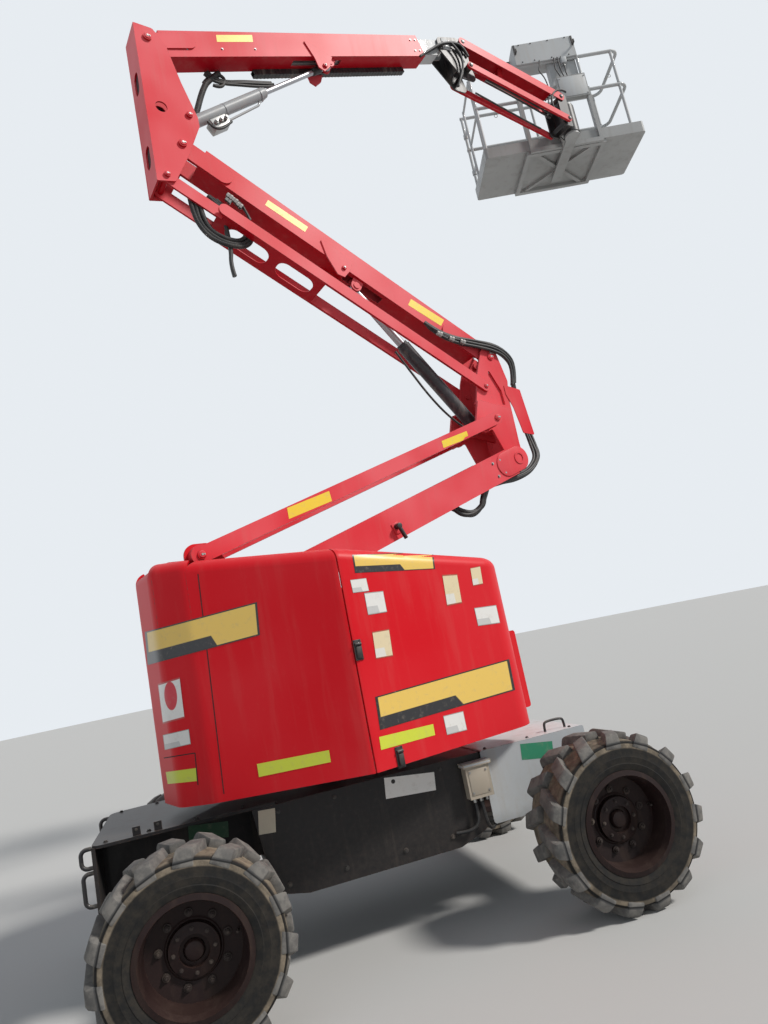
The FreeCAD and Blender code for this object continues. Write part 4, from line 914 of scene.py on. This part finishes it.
def riser_hoses():
    """Loops at the upper link, the upper arm's lug plates and the hose beside the lift cylinder."""
    loops = hose_run("hose_loop_high", "upper_arm", [(196, 196, -0.06), (199, 214, -0.07), (209, 230, -0.075),
             (226, 241, -0.075), (243, 243, -0.07), (250, 234, -0.07), (243, 222, -0.065), (228, 212, -0.06),
             (214, 200, -0.055)], 0.016, (0.030, 0.0, 0.034, 0.0, 0.036, 0.0), look=RIBBED,
             about=on_plane(226, 205, -0.06))
    hose_run("hose_hanging", "upper_arm", [(222, 214, -0.05), (228, 232, -0.055), (232, 250, -0.055),
             (232, 264, -0.055), (235, 276, -0.05)], 0.015, (0.0, 0.052))
    hose_fittings("hose_fittings_high", "upper_arm", 8, ((230, 197, -0.105), (235, 201, -0.105), (240, 206, -0.105),
                                                         (229, 201, -0.085)))
    hose_run("hose_high_fitting", "upper_arm", [(228, 196, -0.095), (236, 200, -0.10), (244, 208, -0.10),
             (250, 220, -0.095)], 0.009, (0.0, 0.018, 0.036))
    for piece in loops:
        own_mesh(piece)
    place = seen("upper_arm", 337, 255)[0]
    face = abs((TURRET.inverted() @ place).y)
    lug_plates("arm_lug", "upper_arm", face, face + 0.010,
               [(321, 240), (326, 241), (353, 262), (350, 271), (345, 277), (338, 274), (327, 256)], (344, 268), 0.018)
    hose_run("hose_beside_lift", "tower_cylinder", [(470, 432, -0.072), (452, 420, -0.074), (430, 396, -0.074),
             (410, 370, -0.074), (396, 352, -0.072)], 0.009, (0.0,))


def luff_fittings():
    """Valve block under the luffing barrel, its pipes and the corrugated hose at its foot."""
    foot = pivot("luff_cylinder_tilt")
    eye_way = (on_plane(317, 72, 0) - foot).normalized()
    at = frame_along(foot, foot + eye_way)
    shape = Shape()
    shape.block((0.19, -0.046, -0.125), (0.345, 0.046, -0.044), 0.006, 0, at)
    for x in (0.215, 0.265, 0.315):
        shape.rod(at @ Vector((x, -0.046, -0.085)), at @ Vector((x, -0.068, -0.085)), 0.017, 0, 0.002, 6)
        shape.rod(at @ Vector((x, -0.068, -0.085)), at @ Vector((x, -0.082, -0.085)), 0.011, 0, 0.002)
    shape.rod(at @ Vector((0.345, 0.0, -0.085)), at @ Vector((0.72, 0.0, -0.066)), 0.009, 1, sides=16)
    shape.rod(at @ Vector((0.72, 0.0, -0.066)), at @ Vector((0.76, 0.0, -0.043)), 0.009, 1, sides=16)
    for x in (0.07, 0.40, 0.79):
        shape.lathe([(0.0455, -0.010), (0.0485, -0.008), (0.0485, 0.008), (0.0455, 0.010)],
                    at @ Matrix.Translation((x, 0, 0)) @ Matrix.Rotation(math.pi / 2, 4, "Y"), 1)
    shape.finish("luff_valve_block", "luff_cylinder", [ZINC, BARREL_GREY])
    eye = on_plane(323, 68, 0)
    boot = Shape()
    boot.lathe([(0.0265, -0.150), (0.029, -0.146), (0.031, -0.120), (0.030, -0.095), (0.0325, -0.080), (0.032, -0.052),
                (0.0265, -0.050)], facing(eye, eye_way), 0, 32)
    boot.finish("luff_rod_boot", "luff_rod", [LATCH_RUBBER])
    hose_run("hose_luff_foot", "upright", [(186, 148, 0.050), (192, 128, 0.064), (197, 108, 0.066), (201, 92, 0.066),
             (208, 80, 0.064), (218, 72, 0.060)], 0.023, (0.0,), "main_boom",
             RIBBED)
    hose_run("hose_into_tray", "main_boom", [(206, 72, 0.055), (213, 78, 0.058), (224, 82, 0.060), (242, 83, 0.060),
             (258, 83, 0.060), (272, 84, 0.060)], 0.011, (0.0, 0.0, 0.024, 0.024, 0.046, 0.046),
             about=on_plane(240, 40, 0))
    hose_run("hose_high_bundle", "main_boom", [(204, 84, 0.060), (209, 76, 0.062), (218, 74, 0.062), (226, 80, 0.060),
             (222, 88, 0.060), (214, 86, 0.060)], 0.012, (0.0, 0.026))
    hose_run("hose_to_valve", "luff_cylinder", [(231, 121, -0.084), (225, 127, -0.09), (217, 129, -0.09),
             (211, 126, -0.085), (208, 121, -0.08)], 0.009, (0.0, 0.024))


def boom_fittings():
    """Ribs of the hose carrier, screws and lug plates of the boom, and painted shade in the upright's holes, with red
    rings at the side holes' edges.
    """
    boom = pivot("luff")
    tip = pivot("jib_level")
    at = frame_along(boom, tip)
    shape = Shape()
    for i in range(46):
        s = 0.93 + i * 0.0355
        shape.block((s, 0.0535, -0.171), (s + 0.016, 0.1065, -0.122), 0.002, 0, at, 1)
    shape.finish("hose_carrier_ribs", "main_boom", [BLACK_PAINT])
    shape = Shape()
    for s in (2.66, 2.72):
        for y in (-0.0785, 0.0785):
            for z in (-0.07, 0.04):
                shape.bolt(facing(at @ Vector((s, y, z)), (0, math.copysign(1, y), 0)), 0.008)
    for s in (0.30, 0.60, 0.90):
        shape.bolt(facing(at @ Vector((s, -0.0785, -0.06)), (0, -1, 0)), 0.007)
    shape.finish("boom_bolts", "main_boom", [BOLT_STEEL])
    lug_plates("boom_lug", "main_boom", 0.0795, 0.0895,
               [(304, 41), (308, 42), (332, 57), (330, 67), (325, 71), (319, 67), (315, 58)], (325, 66), 0.020)
    upper = pivot("upright_level")
    half = abs((TURRET.inverted() @ seen("upright", 150, 150)[0]).y)
    hole_shade_and_rims = Shape()
    for side in SIDES:
        # Painted shade: a dark disc set inside each side hole, then a red ring at the hole's edge
        at = facing((upper.x - 0.110, side * (half - 0.014), upper.z + 0.270), (0, side, 0))
        hole_shade_and_rims.lathe([(0, 0.001), (0.056, 0.001), (0.056, -0.001), (0, -0.001)], at)
        at = facing((upper.x - 0.110, side * half, upper.z + 0.270), (0, side, 0))
        hole_shade_and_rims.lathe([(0.042, 0.0), (0.048, 0.0), (0.047, 0.003), (0.042, 0.003)], at, 1, closed=True)
    # Painted shade: dark slots on the upright's rear face
    for z in (-0.080, 0.515):
        hole_shade_and_rims.prism([(0.062 * math.cos(math.radians(a)), math.copysign(0.040, math.sin(math.radians(a) + 0.001))
                       + 0.055 * math.sin(math.radians(a))) for a in range(0, 360, 15)], -0.0145, -0.0125,
                     facing((upper.x - 0.220, 0, upper.z + z), (-1, 0, 0)))
    hole_shade_and_rims.finish("upright_hole_shade_and_rims", "upright", [PAINTED_SHADOW, BOOM_RED])


def jib_fittings():
    """Hoses round the jib base and along the jib, and the pale plate on the base."""
    fly, jib = pivot("jib_level"), pivot("jib_lift")
    head, bar = pivot("head_level"), pivot("jib_bar_lift")
    hose_run("hose_fly_end", "fly_boom", [(420, 56, -0.085), (430, 50, -0.10), (441, 44, -0.115), (452, 42, -0.12),
             (462, 46, -0.12), (468, 56, -0.12)], 0.012, (0.0, 0.024, 0.048), "jib_base")
    hose_run("hose_jib_base", "jib_base", [(450, 42, -0.12), (458, 50, -0.125), (463, 62, -0.128), (462, 76, -0.126),
             (458, 86, -0.12)], 0.011, (0.0, 0.022))
    at = frame_along(jib, head)
    for i, (y, z) in enumerate(((-0.060, 0.060), (-0.032, 0.062), (0.005, 0.060), (0.040, 0.062))):
        points = [at @ Vector((s, y + 0.006 * math.sin(5 * s + i), z + 0.010 * math.sin(3.1 * s + 2 * i)))
                  for s in (0.12, 0.24, 0.42, 0.66, 0.9, 1.12, 1.24)]
        hose("hose_along_jib_" + str(i), points, 0.010, HOSE, "jib_arm")
    at = frame_along(bar, bar + (head - jib))
    for i, y in enumerate((-0.095, -0.068, 0.080)):
        points = [at @ Vector((s, y, 0.018 * math.sin(2.4 * s + i) - 0.02))
                  for s in (0.23, 0.36, 0.6, 0.86, 1.02, 1.10)]
        hose("hose_between_bars_" + str(i), points, 0.009, HOSE, "jib_bars")
    shape = Shape()
    at = facing(fly + Vector((0.03, -0.0808, 0.015)), (0, -1, 0))
    shape.prism(rectangle(-0.05, -0.07, 0.055, 0.05), 0, 0.005, at, 0, 0.002)
    for x, y in ((-0.036, -0.056), (0.041, -0.056), (0.041, 0.036)):
        shape.bolt(at @ Matrix.Translation((x, y, 0.005)), 0.006, 1)
    shape.finish("jib_base_plate", "jib_base", [PALE, BOLT_STEEL])
    hose_run("hose_rotator", "rotator", [(560, 118, -0.125), (553, 108, -0.13), (551, 96, -0.13), (558, 88, -0.12),
             (566, 92, -0.11)], 0.009, (0.0, 0.022))


# Platform

def platform_console():
    """Controls on the console's sloped face, hooks at its ends and the case fittings below."""
    shape = Shape()
    slope = Vector((0.889, 0, 0.457))
    base = Vector((0.4265, 0, 1.270))
    plate = facing(base, slope)
    shape.prism(rectangle(-0.32, -0.062, 0.37, 0.062), 0.0004, 0.004, plate, 1, 0.001)
    for x in (-0.22, 0.26):
        at = plate @ Matrix.Translation((x, -0.005, 0.004))
        shape.lathe([(0, 0.034), (0.010, 0.034), (0.013, 0.026), (0.022, 0.022), (0.020, 0.016), (0.030, 0.012),
                     (0.028, 0.006), (0.036, 0.0)], at, 2)
        shape.lathe([(0, 0.104), (0.012, 0.101), (0.016, 0.088), (0.011, 0.062), (0.007, 0.056), (0.007, 0.030)],
                    at, 2)
    shape.lathe([(0.034, 0.0), (0.034, 0.004), (0.014, 0.006), (0.014, 0.014), (0.022, 0.017), (0.024, 0.026),
                 (0.018, 0.032), (0, 0.033)], plate @ Matrix.Translation((0.02, 0.01, 0.004)), 3)
    for i in range(7):
        at = plate @ Matrix.Translation((-0.135 + i * 0.047, -0.042 if i % 2 else 0.040, 0.004))
        shape.lathe([(0.009, 0), (0.009, 0.005), (0.006, 0.007), (0, 0.008)], at, 4, 20)
        shape.rod(at @ Vector((0, 0, 0.006)), at @ Vector((0.002, 0.010, 0.028)), 0.0028, 4, 0.0008, 12, 0.0042)
    for i in range(4):
        at = plate @ Matrix.Translation((0.11 + i * 0.032, 0.010, 0.004))
        shape.lathe([(0.008, 0), (0.008, 0.003), (0.006, 0.006), (0, 0.007)], at, (3, 5, 6, 6)[i], 18)
    shape.finish("console_controls", "platform", [CONSOLE_GREY, BLACK_PAINT, LATCH_RUBBER, RED_FILM, ZINC, GREEN_FILM,
                                                  YELLOW], PLATFORM)
    shape = Shape()
    for y in (-0.372, 0.300):
        shape.block((0.190, y - 0.010, 1.230), (0.1978, y + 0.010, 1.345), 0.002)
        shape.block((0.150, y - 0.010, 1.222), (0.198, y + 0.010, 1.236), 0.003)
        shape.block((0.146, y - 0.010, 1.222), (0.156, y + 0.010, 1.262), 0.003)
    for y in (-0.30, -0.10, 0.10, 0.24):
        for z in (1.115, 1.340):
            shape.bolt(facing((0.1978, y, z), (-1, 0, 0)), 0.006)
    shape.finish("console_hooks", "platform", [BLACK_PAINT], PLATFORM)
    shape = Shape()
    shape.prism(rectangle(-0.155, -0.125, 0.155, 0.125), 0, 0.004,
                facing((0.1676, -0.235, 0.685), (-1, 0, 0)), 0, 0.002)
    for y, z in ((-0.38, 0.57), (-0.10, 0.57), (-0.38, 0.79), (-0.10, 0.79)):
        shape.bolt(facing((0.1634, y, z), (-1, 0, 0)), 0.006, 1)
    shape.finish("case_lid", "platform", [CONSOLE_GREY, BOLT_STEEL], PLATFORM)


def platform_hoses():
    """Cables from the console down to the case and the mount."""
    for i, y in enumerate((-0.20, -0.16, -0.12, 0.05)):
        points = [(0.196, y, 1.10), (0.180, y + 0.01, 1.04), (0.176, y + 0.02 * i - 0.01, 0.95), (0.181, y, 0.87),
                  (0.180, y - 0.02, 0.80 if i < 3 else 0.70)]
        if i == 3:
            points += [(0.165, 0.10, 0.50), (0.150, 0.12, 0.30), (0.160, 0.08, 0.10), (0.150, 0.03, 0.02)]
        hose("cable_console_" + str(i), points, 0.007, HOSE, "platform", place=PLATFORM)
    shape = Shape()
    shape.block((0.166, -0.245, 1.000), (0.2205, -0.185, 1.075), 0.006)
    shape.rod((0.193, -0.215, 1.000), (0.193, -0.215, 0.972), 0.013, 1, 0.002)
    shape.finish("console_connector", "platform", [PALE, ZINC], PLATFORM)


def rail_details():
    """Weld beads and feet at the posts, lanyard loops, the gate's catch and the floor's grip bars."""
    shape = Shape()
    x0, x1, w = 0.240, 0.928, 0.879
    posts = [(x0, -w + 0.090), (x0, w), (x1, -w + 0.090), (x1, w), (x0, -0.395), (x0, 0.395), (x1, 0.0)]
    for x, y in posts:
        for z in (0.641, 0.679, 1.081):
            shape.lathe([(0.0155, -0.004), (0.0195, 0), (0.0155, 0.004)], Matrix.Translation((x, y, z)), 0, 20)
        shape.lathe([(0.0155, 0.0), (0.030, 0.0), (0.030, 0.006), (0.018, 0.010), (0.0155, 0.013)],
                    Matrix.Translation((x, y, 0.0063)), 0, 24)
    for x, y in ((x1, -0.45), (x1, 0.45), (x0 + 0.34, -w)):
        at = facing((x, y, 1.081), (0, 0, -1))
        shape.lathe([(0.020, -0.004), (0.024, 0.0), (0.020, 0.004), (0.016, 0.0)],
                    at @ Matrix.Translation((0, 0, 0.020)) @ ON_EDGE, 1, 28, True)
    shape.block((x0 + 0.040, w - 0.012, 0.86), (x0 + 0.070, w + 0.012, 0.90), 0.003, 1)
    shape.finish("rail_welds", "platform", [PALE, ZINC], PLATFORM)
    shape = Shape()
    for i in range(22):
        shape.block((0.222, -0.86 + i * 0.079, 0.0062), (0.946, -0.852 + i * 0.079, 0.0078), 0.0007, 0, segments=1)
    for i in range(9):
        shape.block((0.240 + i * 0.083, -0.895, 0.0062), (0.246 + i * 0.083, 0.895, 0.0074), 0.0006, 0, segments=1)
    shape.finish("floor_grip_bars", "platform", [PALE], PLATFORM)


# Chassis

def chassis_details():
    """Bolt heads, labels, handle, box lid, fittings and hoses of the chassis."""
    deck_top, cover_top, ring_top, frame_side = 0.8763, 0.8620, 0.8600, 0.540
    shape = Shape()
    for x in (-1.52, -1.30, -1.05, -0.80):
        for y in (-0.455, 0.455):
            shape.bolt(Matrix.Translation((x, y, deck_top)), 0.010)
    for x in (-1.30, -1.19):
        shape.bolt(facing((x - 0.115 + 0.055, -0.4903, 0.906), (0, -1, 0)), 0.006)
    for x in (0.66, 0.95, 1.25):
        for y in (-0.5, 0.5):
            shape.bolt(Matrix.Translation((x, y, cover_top)), 0.008)
    for x in (-0.62, -0.30, 0.05, 0.34):
        for side in SIDES:
            shape.bolt(facing((x, side * frame_side, 0.44), (0, side, 0)), 0.011)
            shape.bolt(facing((x, side * frame_side, 0.82), (0, side, 0)), 0.009)
    for x, y in ring(24, 0.365):
        shape.bolt(Matrix.Translation((x, y, ring_top)), 0.010)
    shape.finish("chassis_bolts", "chassis", [DARK_BOLT], CHASSIS)
    shape = Shape()
    shape.block((0.455, -0.6245, 0.8000), (0.635, -0.5395, 0.8235), 0.008)
    shape.block((0.485, -0.6135, 0.640), (0.605, -0.6098, 0.785), 0.002, 1)
    for x in (0.495, 0.595):
        for z in (0.655, 0.770):
            shape.bolt(facing((x, -0.6135, z), (0, -1, 0)), 0.005, 2)
    for x in (0.505, 0.545, 0.585):
        shape.rod((x, -0.575, 0.620), (x, -0.575, 0.596), 0.013, 2, 0.002)
    shape.finish("junction_box_lid", "chassis", [COVER_WHITE, TAN_CASE, ZINC], CHASSIS)
    hoses = [[(0.505, -0.575, 0.600), (0.506, -0.578, 0.54), (0.500, -0.585, 0.49), (0.470, -0.580, 0.46),
              (0.420, -0.565, 0.45), (0.36, -0.552, 0.455)],
             [(0.545, -0.575, 0.600), (0.548, -0.580, 0.52), (0.556, -0.580, 0.46), (0.580, -0.560, 0.43),
              (0.62, -0.52, 0.43), (0.68, -0.46, 0.46)]]
    for i, points in enumerate(hoses):
        hose("hose_junction_" + str(i), points, 0.010, HOSE, "chassis", place=CHASSIS)
    for side in SIDES:
        points = [(-0.62, side * 0.30, 0.50), (-0.74, side * 0.36, 0.50), (-0.88, side * 0.46, 0.56),
                  (-0.98, side * 0.56, 0.58), (-1.06, side * 0.64, 0.56), (-1.10, side * 0.69, 0.54)]
        hose("hose_steer_" + side_name(side), points, 0.011, HOSE, "chassis", place=CHASSIS)
    films = [("deck_dark_label", "chassis_frame", (188, 826), (228, 821), (229, 837), (189, 841), DARK_FILM),
             ("frame_beige_label", "chassis_frame", (258, 811), (275, 808), (276, 832), (259, 835), BEIGE_FILM),
             ("frame_pale_label", "chassis_frame", (384, 778), (434, 772), (436, 790), (386, 799), WHITE_FILM),
             ("cover_green_label", "drive_end_cover", (520, 744), (552, 741), (554, 757), (522, 760), GREEN_FILM)]
    for name, node, a, b, c, d, look in films:
        laid_on(name, node, (a, b, c, d), [look], "chassis", 6, 3)
    handle = [(1.10, -0.46, 0.860), (1.10, -0.46, 0.905), (1.115, -0.46, 0.922), (1.225, -0.46, 0.922),
              (1.24, -0.46, 0.905), (1.24, -0.46, 0.860)]
    hose("cover_handle", handle, 0.008, BLACK_PAINT, "chassis", place=CHASSIS)


def king_pin_caps():
    """Caps above and below the king pins of the steered wheels."""
    shape = Shape()
    for side in SIDES:
        for z in (-0.150, 0.150):
            at = facing((-1.13, side * 0.806, AXLE_HEIGHT + z + math.copysign(0.001, z)), (0, 0, math.copysign(1, z)))
            shape.lathe([(0.040, 0), (0.046, 0.0), (0.046, 0.008), (0.030, 0.012), (0, 0.012)], at, 0, 28)
            shape.bolt(at @ Matrix.Translation((0, 0, 0.012)), 0.010)
    shape.finish("king_pin_caps", "chassis", [BOLT_STEEL], CHASSIS)


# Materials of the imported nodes

def paint_nodes():
    groups = (
        (RED, ("hood_near", "hood_far", "tail_hood", "turntable", "turret_front")),
        (BOOM_RED, ("lower_arm", "lower_links", "tower_knuckle", "hose_guard", "upper_arm", "upper_link", "upright",
                    "main_boom", "jib_arm", "jib_bars")),
        (CHARCOAL, ("chassis_frame", "steer_end_cover", "drive_axle", "steer_axle", "steer_knuckle_near",
                    "steer_knuckle_far", "tie_rod", "counterweight")),
        (BLACK_PAINT, ("tie_down_loops", "jib_base", "rotator", "jib_cylinder", "hose_tray", "engine")),
        (PALE, ("platform_rails", "platform_gate", "hydraulic_tank", "fly_boom")),
        (PAN_GREY_AND_SHADE, ("platform_floor", "platform_mount")),
        (CONSOLE_GREY, ("control_box",)),
        (COVER_WHITE, ("drive_end_cover",)),
        (TAN_CASE, ("junction_box",)),
        (BARREL_GREY, ("luff_cylinder",)),
        (BARREL_DARK, ("tower_cylinder",)),
        (CHROME, ("tower_rod", "luff_rod", "jib_rod")),
        (BOLT_STEEL, ("slew_ring",)),
        (RIM_PAINT_AND_SHADE, tuple("rim_" + wheel for wheel in WHEELS)),
    )
    for look, names in groups:
        for name in names:
            data = frame["nodes"][name].data
            data.materials.clear()
            data.materials.append(look)


# Studio

def studio():
    mesh = bmesh.new()
    bmesh.ops.create_circle(mesh, cap_ends=True, segments=96, radius=60)
    floor = as_piece(mesh, "floor", None, [])
    ground = Look("studio_floor", 0.8)
    ground.set("Base Color", (0.52, 0.52, 0.51))
    floor.data.materials.append(ground.material)
    world = bpy.data.worlds.new("studio")
    world.use_nodes = True
    tree = world.node_tree
    tree.nodes.clear()
    kinds = ("OutputWorld", "MixShader", "Background", "Background", "LightPath", "Math")
    out, mixed, light, shown, ray, either = [tree.nodes.new("ShaderNode" + kind) for kind in kinds]
    either.operation = "MAXIMUM"
    light.inputs[0].default_value = (0.86, 0.92, 1.0, 1)
    light.inputs[1].default_value = 0.34
    shown.inputs[0].default_value = (0.80, 0.84, 0.88, 1)
    shown.inputs[1].default_value = 1.0
    for start, end in ((ray.outputs["Is Camera Ray"], either.inputs[0]),
                       (ray.outputs["Is Glossy Ray"], either.inputs[1]),
                       (either.outputs[0], mixed.inputs[0]), (light.outputs[0], mixed.inputs[1]),
                       (shown.outputs[0], mixed.inputs[2]), (mixed.outputs[0], out.inputs[0])):
        tree.links.new(start, end)
    bpy.context.scene.world = world
    for name, strength, spread, way, tint in (("key", 3.1, 9, (0.9, -0.60, 0.9), (1.0, 0.965, 0.92)),
                                              ("fill", 0.25, 60, (-1.2, -0.8, 0.5), (0.85, 0.92, 1.0))):
        data = bpy.data.lights.new(name, "SUN")
        data.energy = strength
        data.angle = math.radians(spread)
        data.color = tint
        lamp = bpy.data.objects.new(name, data)
        lamp.matrix_world = Vector(way).to_track_quat("Z", "Y").to_matrix().to_4x4()
        bpy.context.scene.collection.objects.link(lamp)
    bpy.context.scene.view_settings.view_transform = "Standard"


make_camera()
studio()
paint_nodes()
for wheel in WHEELS:
    tyre(wheel)
    hub_fittings(wheel)
cover_corners()
cover_films()
cover_latches()
post_bolts()
pin_ends()
arm_strips()
knuckle_hoses()
knuckle_plates()
lower_arm_fittings()
riser_hoses()
luff_fittings()
boom_fittings()
jib_fittings()
platform_console()
platform_hoses()
rail_details()
chassis_details()
king_pin_caps()
